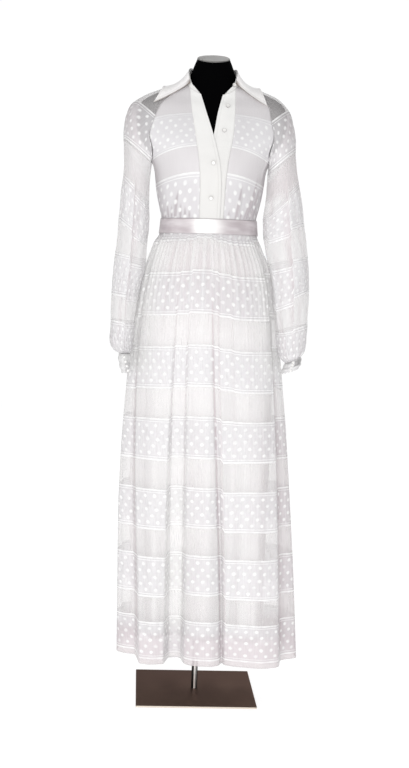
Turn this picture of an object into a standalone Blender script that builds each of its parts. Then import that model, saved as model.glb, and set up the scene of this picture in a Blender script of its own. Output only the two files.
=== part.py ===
"""White organza shirtwaist evening gown on a limbless dress form with a steel stand.

Metres, +Z up, the wearer faces -Y, so the wearer's right is -X. The origin is the middle of the base
plate's underside. Every piece of cloth is an open sheet worked out from the sections below, given its
thickness by Solidify, which grows outwards from the side that lies next to the body.
"""
import math
from collections import namedtuple

import bmesh
import bpy
import numpy as np
from mathutils import Matrix, Vector

# stand
BASE_SIDE = 0.300
BASE_THICKNESS = 0.005
BASE_BEVEL = 0.0006
BASE_TURN = math.radians(2.9)       # the plate is turned a little under the form
POLE_RADIUS = 0.0078
TOUCH = 0.0003                      # clearance between pieces that meet

# dress form
FORM_BOTTOM = 0.855
NECK_TOP = 1.5964
NECK_TILT = math.radians(19.4)      # the neck's top slopes down to the front
NECK_TILT_FROM = 1.545
FORM_SLACK = 0.0020                 # the form's shoulders keep this far inside its section
CAP_RADIUS = 0.0405
CAP_THICKNESS = 0.0032

# cloth
CLOTH = 0.0010                      # wall of organza with its lining
SATIN = 0.0012
SEAM = 0.0005                       # gap at a seam
SEAM_RADIUS = 0.11                  # of the body where seams are trimmed
WAIST = 1.1845                      # seam of bodice and skirt, under the belt
UNDERARM = 1.3435
HEM = 0.108
LINING_HEM = 0.160
BELT_BOTTOM = 1.162
BELT_TOP = 1.205
UNDER_BELT = 0.0042                 # belt's inner side off the form
BELT_FLARE = 0.0028                 # more at its lower edge, over the gathers

# mesh densities
FORM_COLUMNS = 26
SKIRT_COLUMNS = 60                  # per panel, three for each gather
GATHERS = SKIRT_COLUMNS // 3        # per panel at the waist
LINING_COLUMNS = 44
RAGLAN_STEPS = 9
SIDE_STEPS = 5
FRONT_COLUMNS = 14
BACK_COLUMNS = 20
BAND_COLUMNS = 3
BELT_COLUMNS = 48

Torso = namedtuple("Torso", "height half_width front back centre")
TORSO = (
    Torso(0.860, 0.1400, 0.0900, 0.1000, 0.0),
    Torso(0.900, 0.1490, 0.0970, 0.1090, 0.0),
    Torso(0.980, 0.1550, 0.1020, 0.1150, 0.0),
    Torso(1.060, 0.1480, 0.0990, 0.1070, 0.0),
    Torso(1.090, 0.1405, 0.0965, 0.1010, 0.0),
    Torso(1.120, 0.1305, 0.0915, 0.0945, 0.0),
    Torso(1.145, 0.1225, 0.0875, 0.0880, 0.0),
    Torso(1.165, 0.1180, 0.0855, 0.0845, 0.0),
    Torso(1.185, 0.1165, 0.0848, 0.0830, 0.0),
    Torso(1.205, 0.1172, 0.0855, 0.0830, 0.0),
    Torso(1.235, 0.1205, 0.0895, 0.0840, 0.0),
    Torso(1.285, 0.1290, 0.1010, 0.0900, 0.0),
    Torso(1.335, 0.1375, 0.1160, 0.0970, 0.0),
    Torso(1.370, 0.1560, 0.1160, 0.1000, 0.0),
    Torso(1.400, 0.1790, 0.1090, 0.1010, 0.0),
    Torso(1.430, 0.1880, 0.0990, 0.0990, 0.0),
    Torso(1.460, 0.1880, 0.0860, 0.0930, 0.0),
    Torso(1.478, 0.1830, 0.0780, 0.0870, 0.0),
    Torso(1.490, 0.1755, 0.0710, 0.0810, 0.0),
    Torso(1.500, 0.1630, 0.0660, 0.0760, 0.0),
    Torso(1.5085, 0.1470, 0.0630, 0.0720, 0.0),
    Torso(1.519, 0.1190, 0.0590, 0.0670, 0.0),
    Torso(1.526, 0.0950, 0.0565, 0.0635, 0.0),
    Torso(1.535, 0.0730, 0.0545, 0.0600, 0.0),
    Torso(1.545, 0.0620, 0.0525, 0.0565, -0.001),
    Torso(1.566, 0.0535, 0.0490, 0.0480, -0.003),
    Torso(1.582, 0.0470, 0.0450, 0.0430, -0.007),
    Torso(NECK_TOP, CAP_RADIUS, CAP_RADIUS, CAP_RADIUS, -0.0095),
)
FORM_RINGS = (0.860, 0.872, 0.920, 0.980, 1.050, 1.110, 1.150, 1.185, 1.225, 1.280, 1.335, 1.368, 1.400,
              1.430, 1.460, 1.480, 1.492, 1.502, 1.511, 1.519, 1.5265, 1.534, 1.545, 1.562, 1.580, NECK_TOP)

Ease = namedtuple("Ease", "height bodice")
EASE = (
    Ease(WAIST, 0.0005), Ease(1.200, 0.0005), Ease(1.208, 0.0008), Ease(1.225, 0.0028),
    Ease(1.250, 0.0045), Ease(1.300, 0.0040), Ease(1.345, 0.0044), Ease(1.370, 0.0048),
    Ease(1.420, 0.0034), Ease(1.500, 0.0028), Ease(1.560, 0.0028),
)

# neckline: angle from the front centre round to the back, in degrees
Neck = namedtuple("Neck", "angle height")
NECKLINE = (
    Neck(10.0, 1.5045), Neck(33.0, 1.525), Neck(64.0, 1.536), Neck(90.0, 1.542), Neck(116.0, 1.5435),
    Neck(180.0, 1.550),
)
RAGLAN_FRONT_ANGLE = 64.0
RAGLAN_BACK_ANGLE = 116.0

# raglan seams: distance from the middle at each height, on the wearer's right and left
Raglan = namedtuple("Raglan", "height right left")
RAGLAN = (
    Raglan(1.3600, 0.1412, 0.1420), Raglan(1.3800, 0.1433, 0.1455), Raglan(1.4124, 0.1488, 0.1515),
    Raglan(1.4450, 0.1385, 0.1440), Raglan(1.4790, 0.1235, 0.1362), Raglan(1.5050, 0.0980, 0.1080),
)

# front bands, on the wearer's right (over) and left (under); rise lifts a band's seam to the neckline
Band = namedtuple("Band", "height right_seam right_edge left_edge left_seam rise")
BANDS = (
    Band(WAIST, -0.0215, 0.0275, -0.0165, 0.0340, 0.0),
    Band(1.3330, -0.0256, 0.0234, -0.0120, 0.0420, 0.0),
    Band(1.4075, -0.0370, 0.0040, 0.0065, 0.0526, 0.0),
    Band(1.4600, -0.0470, -0.0135, 0.0145, 0.0550, 0.004),
    Band(1.5045, -0.0545, -0.0280, 0.0250, 0.0545, 0.0205),
)
BAND_OVER = 0.0015                  # the wearer's right band lies over the left one

# tucks that rise from the waist seam: angle at the seam, lean, height and depth
Tuck = namedtuple("Tuck", "angle lean height depth")
FRONT_TUCKS = (
    Tuck(22.0, 1.0, 0.035, 0.0016), Tuck(30.0, 2.0, 0.055, 0.0026), Tuck(38.5, 4.0, 0.075, 0.0032),
    Tuck(47.0, 5.0, 0.060, 0.0028), Tuck(55.0, 7.0, 0.085, 0.0034), Tuck(64.0, 6.0, 0.055, 0.0024),
    Tuck(73.0, 5.0, 0.040, 0.0018),
)
BACK_TUCKS = (
    Tuck(118.0, -3.0, 0.050, 0.0022), Tuck(131.0, -3.0, 0.070, 0.0028), Tuck(145.0, -2.0, 0.055, 0.0024),
)
TUCK_HALF_ANGLE = 3.6

# skirt: half widths and depths of the section, share of the hem's folds, depth of the waist gathers,
# and how far inside it the lining hangs
Skirt = namedtuple("Skirt", "height right left front back folds gather inset")
SKIRT = (
    Skirt(WAIST - 0.0015, 0.1186, 0.1186, 0.0869, 0.0851, 0.0, 0.0, 0.0014),
    Skirt(1.1610, 0.1230, 0.1222, 0.0885, 0.0875, 0.0, 0.0004, 0.0016),
    Skirt(1.1480, 0.1310, 0.1270, 0.0950, 0.0935, 0.01, 0.0032, 0.0026),
    Skirt(1.1280, 0.1385, 0.1350, 0.1025, 0.1010, 0.02, 0.0044, 0.0036),
    Skirt(1.0980, 0.1490, 0.1495, 0.1100, 0.1110, 0.04, 0.0040, 0.0050),
    Skirt(1.0480, 0.1620, 0.1640, 0.1190, 0.1240, 0.05, 0.0030, 0.0060),
    Skirt(0.9650, 0.1765, 0.1775, 0.1290, 0.1380, 0.10, 0.0014, 0.0070),
    Skirt(0.8550, 0.1890, 0.1915, 0.1370, 0.1470, 0.21, 0.0, 0.0080),
    Skirt(0.7100, 0.1995, 0.2080, 0.1440, 0.1560, 0.41, 0.0, 0.0090),
    Skirt(0.5200, 0.2055, 0.2255, 0.1495, 0.1670, 0.65, 0.0, 0.0100),
    Skirt(0.3200, 0.2030, 0.2410, 0.1545, 0.1770, 0.86, 0.0, 0.0100),
    Skirt(HEM, 0.1990, 0.2545, 0.1600, 0.1860, 1.0, 0.0, 0.0100),
)
LINING_ROWS = (0, 1, 3, 5, 7, 9)      # sections that the lining follows before its own hem

# folds at the hem, seen from above: where the skirt and its lining pass, from the right side seam
# across the front to the left one, then back behind
Fold = namedtuple("Fold", "x y lining_x lining_y")
FRONT_FOLDS = (
    Fold(-0.190, 0.020, -0.168, 0.015), Fold(-0.199, -0.035, -0.172, -0.030),
    Fold(-0.152, -0.068, -0.140, -0.050), Fold(-0.117, -0.150, -0.108, -0.122),
    Fold(-0.076, -0.078, -0.074, -0.058), Fold(-0.042, -0.070, -0.046, -0.050),
    Fold(-0.024, -0.135, -0.014, -0.112), Fold(0.020, -0.160, 0.020, -0.138),
    Fold(0.058, -0.138, 0.046, -0.116), Fold(0.076, -0.088, 0.079, -0.066),
    Fold(0.112, -0.148, 0.111, -0.122), Fold(0.160, -0.160, 0.148, -0.134),
    Fold(0.196, -0.088, 0.172, -0.076), Fold(0.2545, -0.050, 0.174, -0.035),
)
BACK_FOLDS = (
    Fold(0.236, 0.020, 0.171, 0.018), Fold(0.226, 0.085, 0.168, 0.075),
    Fold(0.172, 0.088, 0.152, 0.074), Fold(0.145, 0.165, 0.128, 0.135),
    Fold(0.096, 0.110, 0.092, 0.088), Fold(0.050, 0.186, 0.048, 0.158),
    Fold(0.000, 0.118, 0.000, 0.096), Fold(-0.052, 0.182, -0.048, 0.154),
    Fold(-0.092, 0.108, -0.090, 0.086), Fold(-0.136, 0.158, -0.120, 0.130),
    Fold(-0.158, 0.085, -0.140, 0.072), Fold(-0.192, 0.078, -0.166, 0.066),
)

# sleeves below the raglan seam: each ring runs from its outer or upper point to its under point
Ring = namedtuple("Ring", "top_x top_z under_x under_z centre_y half_depth")
SLEEVE_RIGHT = (
    Ring(0.1996, 1.4833, 0.1475, 1.3240, 0.000, 0.070), Ring(0.2125, 1.4550, 0.1490, 1.3120, 0.000, 0.069),
    Ring(0.2180, 1.4150, 0.1500, 1.2970, 0.000, 0.068), Ring(0.2160, 1.3700, 0.1505, 1.2780, -0.002, 0.066),
    Ring(0.2142, 1.3250, 0.1510, 1.2580, -0.004, 0.064), Ring(0.2185, 1.2700, 0.1505, 1.2320, -0.007, 0.063),
    Ring(0.2225, 1.2060, 0.1490, 1.1960, -0.012, 0.063), Ring(0.2255, 1.1500, 0.1525, 1.1500, -0.018, 0.064),
    Ring(0.2328, 1.0680, 0.1565, 1.0680, -0.032, 0.065), Ring(0.2338, 1.0350, 0.1650, 1.0350, -0.038, 0.066),
    Ring(0.2340, 0.9750, 0.1735, 0.9750, -0.050, 0.064), Ring(0.2328, 0.9250, 0.1765, 0.9250, -0.061, 0.060),
    Ring(0.2318, 0.8930, 0.1790, 0.8930, -0.071, 0.054), Ring(0.2240, 0.8790, 0.1800, 0.8790, -0.080, 0.047),
)
SLEEVE_LEFT = (
    Ring(0.1900, 1.4780, 0.1440, 1.3240, 0.000, 0.069), Ring(0.2032, 1.4417, 0.1432, 1.3120, 0.000, 0.068),
    Ring(0.2099, 1.4100, 0.1428, 1.2990, 0.000, 0.067), Ring(0.2113, 1.3700, 0.1425, 1.2840, -0.002, 0.066),
    Ring(0.2155, 1.3300, 0.1425, 1.2680, -0.004, 0.065), Ring(0.2255, 1.2720, 0.1405, 1.2450, -0.007, 0.064),
    Ring(0.2350, 1.2060, 0.1370, 1.2060, -0.012, 0.064), Ring(0.2435, 1.1500, 0.1410, 1.1500, -0.018, 0.064),
    Ring(0.2512, 1.0620, 0.1595, 1.0620, -0.031, 0.064), Ring(0.2525, 1.0350, 0.1640, 1.0350, -0.036, 0.063),
    Ring(0.2515, 0.9750, 0.1700, 0.9750, -0.046, 0.061), Ring(0.2500, 0.9250, 0.1780, 0.9250, -0.056, 0.058),
    Ring(0.2480, 0.8960, 0.1840, 0.8860, -0.064, 0.055), Ring(0.2440, 0.8840, 0.1890, 0.8690, -0.072, 0.048),
)
CUFF_RIGHT = (Ring(0.2095, 0.8680, 0.1825, 0.8680, -0.092, 0.041),
              Ring(0.1950, 0.8225, 0.1690, 0.8225, -0.096, 0.040))
CUFF_LEFT = (Ring(0.2370, 0.8730, 0.2000, 0.8550, -0.078, 0.036),
             Ring(0.2300, 0.8440, 0.1900, 0.8290, -0.081, 0.035))
SHOULDER_STEPS = 4                  # rings between the raglan seam and the first sleeve ring
PARTING_RING = 8                    # a sleeve is two solids, parted at this ring of its table
Shoulder = namedtuple("Shoulder", "x right left")
SHOULDER = (                        # top of the sleeve between the collar and its first ring
    Shoulder(0.0650, 1.5420, 1.5420), Shoulder(0.1000, 1.5303, 1.5303), Shoulder(0.1300, 1.5208, 1.5200),
    Shoulder(0.1480, 1.5143, 1.5137), Shoulder(0.1630, 1.5075, 1.5050), Shoulder(0.1756, 1.5005, 1.4955),
    Shoulder(0.1900, 1.4903, 1.4780), Shoulder(0.1996, 1.4833, 1.4700),
)
SLEEVE_FOLDS = 4
SLEEVE_FOLD_DEPTH = 0.0035
CUFF_GATHERS = 10

# collar: stations from the front end to the back centre, for the wearer's right
Stand = namedtuple("Stand", "angle x y z")
STAND_TOP = (
    Stand(10.0, -0.0520, -0.0520, 1.5320), Stand(33.0, -0.0562, -0.0400, 1.5480),
    Stand(60.0, -0.0573, -0.0215, 1.5620), Stand(90.0, -0.0562, 0.0040, 1.5720),
    Stand(125.0, -0.0475, 0.0350, 1.5770), Stand(155.0, -0.0275, 0.0520, 1.5790),
    Stand(180.0, 0.0, 0.0570, 1.5795),
)
Fall = namedtuple("Fall", "fold middle edge")
COLLAR_FRONT_RIGHT = Fall((-0.0545, -0.0535, 1.5325), (-0.0985, -0.0790, 1.4960), (-0.1430, -0.0600, 1.4813))
COLLAR_FRONT_LEFT = Fall((0.0560, -0.0535, 1.5335), (0.0965, -0.0800, 1.4950), (0.1340, -0.0645, 1.4790))
COLLAR = (
    Fall((-0.0590, -0.0365, 1.5545), (-0.0900, -0.0550, 1.5180), (-0.1330, -0.0450, 1.5065)),
    Fall((-0.0578, 0.0040, 1.5745), (-0.0780, 0.0060, 1.5375), (-0.1240, 0.0030, 1.5275)),
    Fall((-0.0490, 0.0365, 1.5795), (-0.0700, 0.0540, 1.5450), (-0.0980, 0.0590, 1.5160)),
    Fall((-0.0285, 0.0545, 1.5815), (-0.0400, 0.0740, 1.5460), (-0.0520, 0.0790, 1.5090)),
    Fall((0.0, 0.0592, 1.5820), (0.0, 0.0770, 1.5460), (0.0, 0.0830, 1.5060)),
)
COLLAR_COLUMNS = 28
COLLAR_STEPS = (0.0, 0.18, 0.42, 0.70, 1.0)

BUTTON_RADIUS = 0.0056
BUTTON_HEIGHT = 0.0026
BandButton = namedtuple("BandButton", "x z band")
BUTTONS = (BandButton(0.0380, 1.4760, "left"), BandButton(0.0310, 1.4140, "left"),
           BandButton(0.0070, 1.3350, "right"), BandButton(0.0040, 1.2520, "right"))
CUFF_BUTTON_RADIUS = 0.0036
CUFF_BUTTON_HEIGHT = 0.0026
CUFF_BUTTONS = 4

COLOURS = {
    "organza": ((0.88, 0.86, 0.88), 0.75, 0.0), "lining": ((0.86, 0.84, 0.85), 0.6, 0.0),
    "placket": ((0.92, 0.92, 0.89), 0.7, 0.0), "satin": ((0.85, 0.79, 0.81), 0.3, 0.0),
    "form": ((0.006, 0.006, 0.007), 0.7, 0.0), "cap": ((0.32, 0.32, 0.31), 0.4, 0.9),
    "steel": ((0.55, 0.55, 0.54), 0.25, 1.0), "bronze": ((0.09, 0.075, 0.062), 0.38, 0.85),
}


def clear_scene():
    for thing in list(bpy.data.objects):
        bpy.data.objects.remove(thing, do_unlink=True)


def material(name):
    colour, roughness, metallic = COLOURS[name]
    made = bpy.data.materials.get(name) or bpy.data.materials.new(name)
    made.use_nodes = True
    shader = made.node_tree.nodes["Principled BSDF"]
    shader.inputs["Base Color"].default_value = (*colour, 1.0)
    shader.inputs["Roughness"].default_value = roughness
    shader.inputs["Metallic"].default_value = metallic
    made.diffuse_color = (*colour, 1.0)
    return made


def add_object(name, mesh, material_name):
    thing = bpy.data.objects.new(name, mesh)
    thing.data.materials.append(material(material_name))
    gown.objects.link(thing)
    return thing


def sheet(name, points, material_name, closed=False, thickness=CLOTH):
    """Wall over a grid of points (rows, columns, 3); rows run upwards, columns to the wearer's left."""
    rows, columns = points.shape[:2]
    last = columns if closed else columns - 1
    faces = []
    for row in range(rows - 1):
        for column in range(last):
            beside = (column + 1) % columns
            low, high = row * columns, (row + 1) * columns
            faces.append((low + column, low + beside, high + beside, high + column))
    mesh = bpy.data.meshes.new(name)
    mesh.from_pydata(points.reshape(-1, 3).tolist(), [], faces)
    mesh.update()
    thing = add_object(name, mesh, material_name)
    wall = thing.modifiers.new("wall", "SOLIDIFY")
    wall.thickness = thickness
    wall.offset = 1.0
    wall.use_quality_normals = True
    mesh.shade_smooth()
    return thing


def smooth(value, stations, amounts):
    """Smooth curve through a table's column: cubic pieces whose slopes are the neighbours' mean."""
    stations, amounts = np.asarray(stations, float), np.asarray(amounts, float)
    slopes = np.gradient(amounts, stations)
    value = np.clip(value, stations[0], stations[-1])
    index = np.clip(np.searchsorted(stations, value) - 1, 0, len(stations) - 2)
    span = stations[index + 1] - stations[index]
    part = (value - stations[index]) / span
    rise = amounts[index + 1] - amounts[index]
    bend = part * (1 - part) * ((1 - part) * (slopes[index] * span - rise) + part * (rise - slopes[index + 1] * span))
    return amounts[index] + part * rise + bend


def column(table, name):
    return [getattr(row, name) for row in table]


def read(table, name, value, key="height"):
    return smooth(value, column(table, key), column(table, name))


def torso(angle, height, out):
    """Point on the form's section at a height, moved out; angle 0 is the front, 90 the wearer's left."""
    angle, height = np.broadcast_arrays(np.radians(angle), np.asarray(height, float))
    width = read(TORSO, "half_width", height) + out
    front = read(TORSO, "front", height) + out
    back = read(TORSO, "back", height) + out
    depth = np.where(np.cos(angle) > 0, front, back)
    y = read(TORSO, "centre", height) - depth * np.cos(angle)
    return np.stack([width * np.sin(angle), y, height + 0.0 * y], axis=-1)


def angle_at(x, height, out):
    """Front angle whose point on the section lies at x."""
    return np.degrees(np.arcsin(np.clip(x / (read(TORSO, "half_width", height) + out), -1.0, 1.0)))


def neck_height(angle):
    return read(NECKLINE, "height", angle, key="angle")


def ease(height):
    return read(EASE, "bodice", height)


# dress form and stand

def make_base():
    bpy.ops.mesh.primitive_cube_add(size=1.0, location=(0, 0, BASE_THICKNESS / 2), rotation=(0, 0, BASE_TURN))
    plate = bpy.context.active_object
    plate.name = "base_plate"
    plate.data.transform(Matrix.Diagonal((BASE_SIDE, BASE_SIDE, BASE_THICKNESS, 1.0)))
    for holder in list(plate.users_collection):
        holder.objects.unlink(plate)
    gown.objects.link(plate)
    plate.data.materials.append(material("bronze"))
    edge = plate.modifiers.new("edge", "BEVEL")
    edge.width = BASE_BEVEL
    edge.segments = 1


def make_pole():
    length = FORM_BOTTOM - TOUCH - (BASE_THICKNESS + TOUCH)
    mesh = bpy.data.meshes.new("pole")
    shape = bmesh.new()
    bmesh.ops.create_cone(shape, cap_ends=True, segments=24, radius1=POLE_RADIUS, radius2=POLE_RADIUS,
                          depth=length)
    shape.to_mesh(mesh)
    shape.free()
    pole = add_object("pole", mesh, "steel")
    pole.location = (0, 0, BASE_THICKNESS + TOUCH + length / 2)
    mesh.shade_smooth()
    mesh.set_sharp_from_angle(angle=math.radians(40))


def form_ring(height):
    """Ring of the form's own section, sheared by the neck's slope near the top."""
    inside = FORM_SLACK * float(np.clip(1 - abs(height - 1.526) / 0.036, 0.0, 0.5)) * 2
    points = torso(np.arange(FORM_COLUMNS) * 360.0 / FORM_COLUMNS, height, -inside)
    share = np.clip((height - NECK_TILT_FROM) / (NECK_TOP - NECK_TILT_FROM), 0.0, 1.0)
    centre = read(TORSO, "centre", height)
    points[:, 2] += share * math.tan(NECK_TILT) * (points[:, 1] - centre)
    return points


def make_form():
    rings = [form_ring(height) for height in FORM_RINGS]
    foot = rings[0] * (0.95, 0.95, 1.0)
    foot[:, 2] = FORM_BOTTOM
    rings.insert(0, foot)
    count = FORM_COLUMNS
    faces = [tuple(reversed(range(count)))]
    for row in range(len(rings) - 1):
        for index in range(count):
            beside = (index + 1) % count
            faces.append((row * count + index, row * count + beside,
                          (row + 1) * count + beside, (row + 1) * count + index))
    top = (len(rings) - 1) * count
    faces.append(tuple(range(top, top + count)))
    mesh = bpy.data.meshes.new("dress_form")
    mesh.from_pydata(np.concatenate(rings).tolist(), [], faces)
    mesh.update()
    add_object("dress_form", mesh, "form")
    mesh.shade_smooth()
    mesh.set_sharp_from_angle(angle=math.radians(50))


def make_neck_cap():
    mesh = bpy.data.meshes.new("neck_cap")
    shape = bmesh.new()
    bmesh.ops.create_cone(shape, cap_ends=True, segments=28, radius1=CAP_RADIUS, radius2=CAP_RADIUS,
                          depth=CAP_THICKNESS)
    shape.to_mesh(mesh)
    shape.free()
    cap = add_object("neck_cap", mesh, "cap")
    normal = Vector((0, -math.sin(NECK_TILT), math.cos(NECK_TILT)))
    cap.location = Vector((0, TORSO[-1].centre, NECK_TOP)) + normal * (CAP_THICKNESS / 2 + TOUCH)
    cap.rotation_euler = (NECK_TILT, 0, 0)
    rim = cap.modifiers.new("rim", "BEVEL")
    rim.width = 0.0008
    rim.segments = 1
    rim.limit_method = "ANGLE"


# bodice

def side_name(side):
    return "right" if side < 0 else "left"


def raglan_points(side, back):
    """Angles and heights from the underarm up the raglan seam to the neck, RAGLAN_STEPS + 1 of each."""
    end_angle = RAGLAN_BACK_ANGLE if back else RAGLAN_FRONT_ANGLE
    heights = [UNDERARM] + column(RAGLAN, "height") + [float(neck_height(end_angle))]
    angles = [90.0]
    for row in RAGLAN:
        front = float(angle_at(getattr(row, side_name(side)), row.height, ease(row.height)))
        angles.append(180.0 - front if back else front)
    angles.append(end_angle)
    points = torso(np.array(angles), np.array(heights), 0.0)
    along = np.concatenate([[0.0], np.cumsum(np.linalg.norm(np.diff(points, axis=0), axis=1))])
    wanted = np.linspace(0.0, along[-1], RAGLAN_STEPS + 1)
    return smooth(wanted, along, angles), smooth(wanted, along, heights)


def body_edge(side, back):
    """Outer edge of a bodice panel: up the side seam, then up the raglan seam."""
    angles, heights = raglan_points(side, back)
    low = np.linspace(WAIST, UNDERARM, SIDE_STEPS + 1)[:-1]
    return np.concatenate([np.full(SIDE_STEPS, 90.0), angles]), np.concatenate([low, heights])


def front_rows():
    """Height of each row at the front edges, in step with the rows at the outer edge."""
    heights = body_edge(-1, False)[1]
    share = (heights - WAIST) / (heights[-1] - WAIST)
    return WAIST + share * (BANDS[-1].height - WAIST)


def band_line(name):
    heights = front_rows()
    return read(BANDS, name, heights), heights


def band_seam(side):
    """Angle and height of each row where a front panel meets its band."""
    x, heights = band_line(side_name(side) + "_seam")
    heights = heights + read(BANDS, "rise", heights)
    return angle_at(x, heights, ease(heights)), heights


def tucks(angles, heights, table):
    """Sum of ridges that start at the waist seam, lean outwards and die away upwards."""
    lift = np.zeros_like(angles)
    for tuck in table:
        share = np.clip((heights - WAIST) / tuck.height, 0.0, 1.0)
        beside = (np.abs(angles) - tuck.angle - tuck.lean * share) / TUCK_HALF_ANGLE
        lift += tuck.depth * np.exp(-beside ** 2) * np.sin(np.pi * (0.12 + 0.88 * share)) * (1 - share)
    return lift * np.clip((heights - BELT_TOP) / 0.006, 0.0, 1.0)


def between(inner, outer, columns):
    """Angles and heights between two edges; the top row keeps to the neckline."""
    share = np.linspace(0.0, 1.0, columns + 1)[None, :]
    angles = inner[0][:, None] * (1 - share) + outer[0][:, None] * share
    heights = inner[1][:, None] * (1 - share) + outer[1][:, None] * share
    off_middle = 180.0 - np.abs(180.0 - np.abs(angles[-1]))
    upward = (outer[1] - WAIST) / (outer[1][-1] - WAIST)
    return angles, heights + upward[:, None] ** 3 * (neck_height(off_middle) - heights[-1])[None, :]


def trim_edges(angles, gap):
    """Draws both edge columns in by an angle, for the gap at a seam."""
    angles = angles.copy()
    inwards = np.sign(angles[:, -1:].mean() - angles[:, :1].mean()) * np.degrees(gap / SEAM_RADIUS)
    angles[:, 0] += inwards
    angles[:, -1] -= inwards
    return angles


def make_front(side):
    inner = band_seam(side)
    angles, heights = body_edge(side, False)
    outer = (side * angles, heights)
    angles, heights = between(inner, outer, FRONT_COLUMNS)
    angles = trim_edges(angles, SEAM)
    points = torso(angles, heights, ease(heights) + tucks(angles, heights, FRONT_TUCKS))
    if side < 0:
        points = points[:, ::-1]
    sheet("bodice_front_" + side_name(side), points, "organza")


def make_back():
    right_angles, right_heights = body_edge(-1, True)
    angles, heights = between(body_edge(1, True), (360.0 - right_angles, right_heights), BACK_COLUMNS)
    angles = trim_edges(angles, SEAM)
    behind = 180.0 - np.abs(angles - 180.0)
    sheet("bodice_back", torso(angles, heights, ease(heights) + tucks(behind, heights, BACK_TUCKS)), "organza")


def band_points(side, out):
    """Grid of a front band from its edge to its seam, on the bodice's own surface."""
    edge, low = band_line(side_name(side) + "_edge")
    angles, heights = between((angle_at(edge, low, ease(low)), low), band_seam(side), BAND_COLUMNS)
    points = torso(angles, heights, ease(heights) + out)
    return points[:, ::-1] if side < 0 else points


def make_bands():
    sheet("placket_left", band_points(1, 0.0), "placket")
    sheet("placket_right", band_points(-1, BAND_OVER), "placket")


# skirt and lining

def fold_outline():
    """Closed spline through the folds at the hem, and the index where each panel starts."""
    rows = np.array([tuple(fold) for fold in FRONT_FOLDS + BACK_FOLDS])
    steps = 24
    before, after = np.roll(rows, 1, axis=0), np.roll(rows, -1, axis=0)
    gap = np.sqrt(np.linalg.norm((after - rows)[:, :2], axis=1))[:, None]
    gap_before = np.roll(gap, 1, axis=0)
    slope = (rows - before) / gap_before - (after - before) / (gap_before + gap) + (after - rows) / gap
    part = np.linspace(0.0, 1.0, steps, endpoint=False)[None, :, None]
    start, end = rows[:, None], after[:, None]
    leave, arrive = (slope * gap)[:, None], (np.roll(slope, -1, axis=0) * gap)[:, None]
    curve = ((2 * part ** 3 - 3 * part ** 2 + 1) * start + (part ** 3 - 2 * part ** 2 + part) * leave
             + (3 * part ** 2 - 2 * part ** 3) * end + (part ** 3 - part ** 2) * arrive)
    return curve.reshape(-1, 4), len(FRONT_FOLDS) * steps


def panel_folds(back, columns):
    """Hem points of one panel, evenly spaced along it: x, y, lining x, lining y."""
    curve, split = fold_outline()
    part = np.concatenate([curve[split:], curve[:1]]) if back else curve[:split + 1]
    along = np.concatenate([[0.0], np.cumsum(np.linalg.norm(np.diff(part[:, :2], axis=0), axis=1))])
    wanted = np.linspace(0.0, along[-1], columns + 1)
    return np.stack([np.interp(wanted, along, part[:, index]) for index in range(4)], axis=-1)


def skirt_section(row, hem, round_angle, inset):
    """Section of the skirt: an oval of the row's sizes, shared with the hem's folds."""
    right, left = row.right - inset, row.left - inset
    front, back = row.front - inset, row.back - inset
    oval = np.stack([np.sin(round_angle), -np.cos(round_angle)], axis=-1)
    last = SKIRT[-1]
    folded = np.stack([np.where(hem[:, 0] < 0, hem[:, 0] / last.right, hem[:, 0] / last.left),
                       np.where(hem[:, 1] < 0, hem[:, 1] / last.front, hem[:, 1] / last.back)], axis=-1)
    mixed = oval * (1 - row.folds) + folded * row.folds
    x = np.where(mixed[:, 0] < 0, right, left) * mixed[:, 0]
    y = np.where(mixed[:, 1] < 0, front, back) * mixed[:, 1]
    return np.stack([x, y], axis=-1)


def outward(line):
    """Unit normals of an open line of points that runs anticlockwise seen from above."""
    along = np.gradient(line, axis=0)
    normal = np.stack([along[:, 1], -along[:, 0]], axis=-1)
    return normal / np.linalg.norm(normal, axis=1)[:, None]


def make_skirt(back):
    count = SKIRT_COLUMNS
    hem = panel_folds(back, count)
    turn = np.linspace(90.0, 270.0, count + 1) if back else np.linspace(-90.0, 90.0, count + 1)
    ridge = np.where(np.arange(count + 1) % 3 == 1, 1.0, 0.0)
    ridge = ridge * (0.75 + 0.25 * np.sin(np.arange(count + 1) * 2.3))
    ridge[[1, -3]] = 0.0
    grid = []
    for row in reversed(SKIRT):
        line = skirt_section(row, hem[:, :2], np.radians(turn), 0.0)
        line = line + outward(line) * (ridge * row.gather)[:, None]
        shift = SEAM / 2 * (1 if back else -1)
        line[[0, -1], 1] += shift
        grid.append(np.column_stack([line, np.full(count + 1, row.height)]))
    sheet("skirt_back" if back else "skirt_front", np.array(grid), "organza")


def lining_line(row):
    """Closed section of the lining: the skirt's section drawn in, mixed with the lining's own hem."""
    half = LINING_COLUMNS // 2
    lines = []
    for back in (False, True):
        hem = panel_folds(back, half)[:-1, 2:]
        start = 90.0 if back else -90.0
        turn = np.radians(start + np.arange(half) * 180.0 / half)
        lines.append(skirt_section(row, hem, turn, row.inset))
    return np.concatenate(lines)


def make_lining():
    rows = [SKIRT[index] for index in LINING_ROWS]
    share = (rows[-1].height - LINING_HEM) / (rows[-1].height - SKIRT[-1].height)
    last = Skirt(*(high * (1 - share) + low * share for high, low in zip(rows[-1], SKIRT[-1])))
    grid = [np.column_stack([lining_line(row), np.full(LINING_COLUMNS, row.height)])
            for row in reversed(rows + [last])]
    sheet("skirt_lining", np.array(grid), "lining", closed=True)


# sleeves and cuffs

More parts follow.
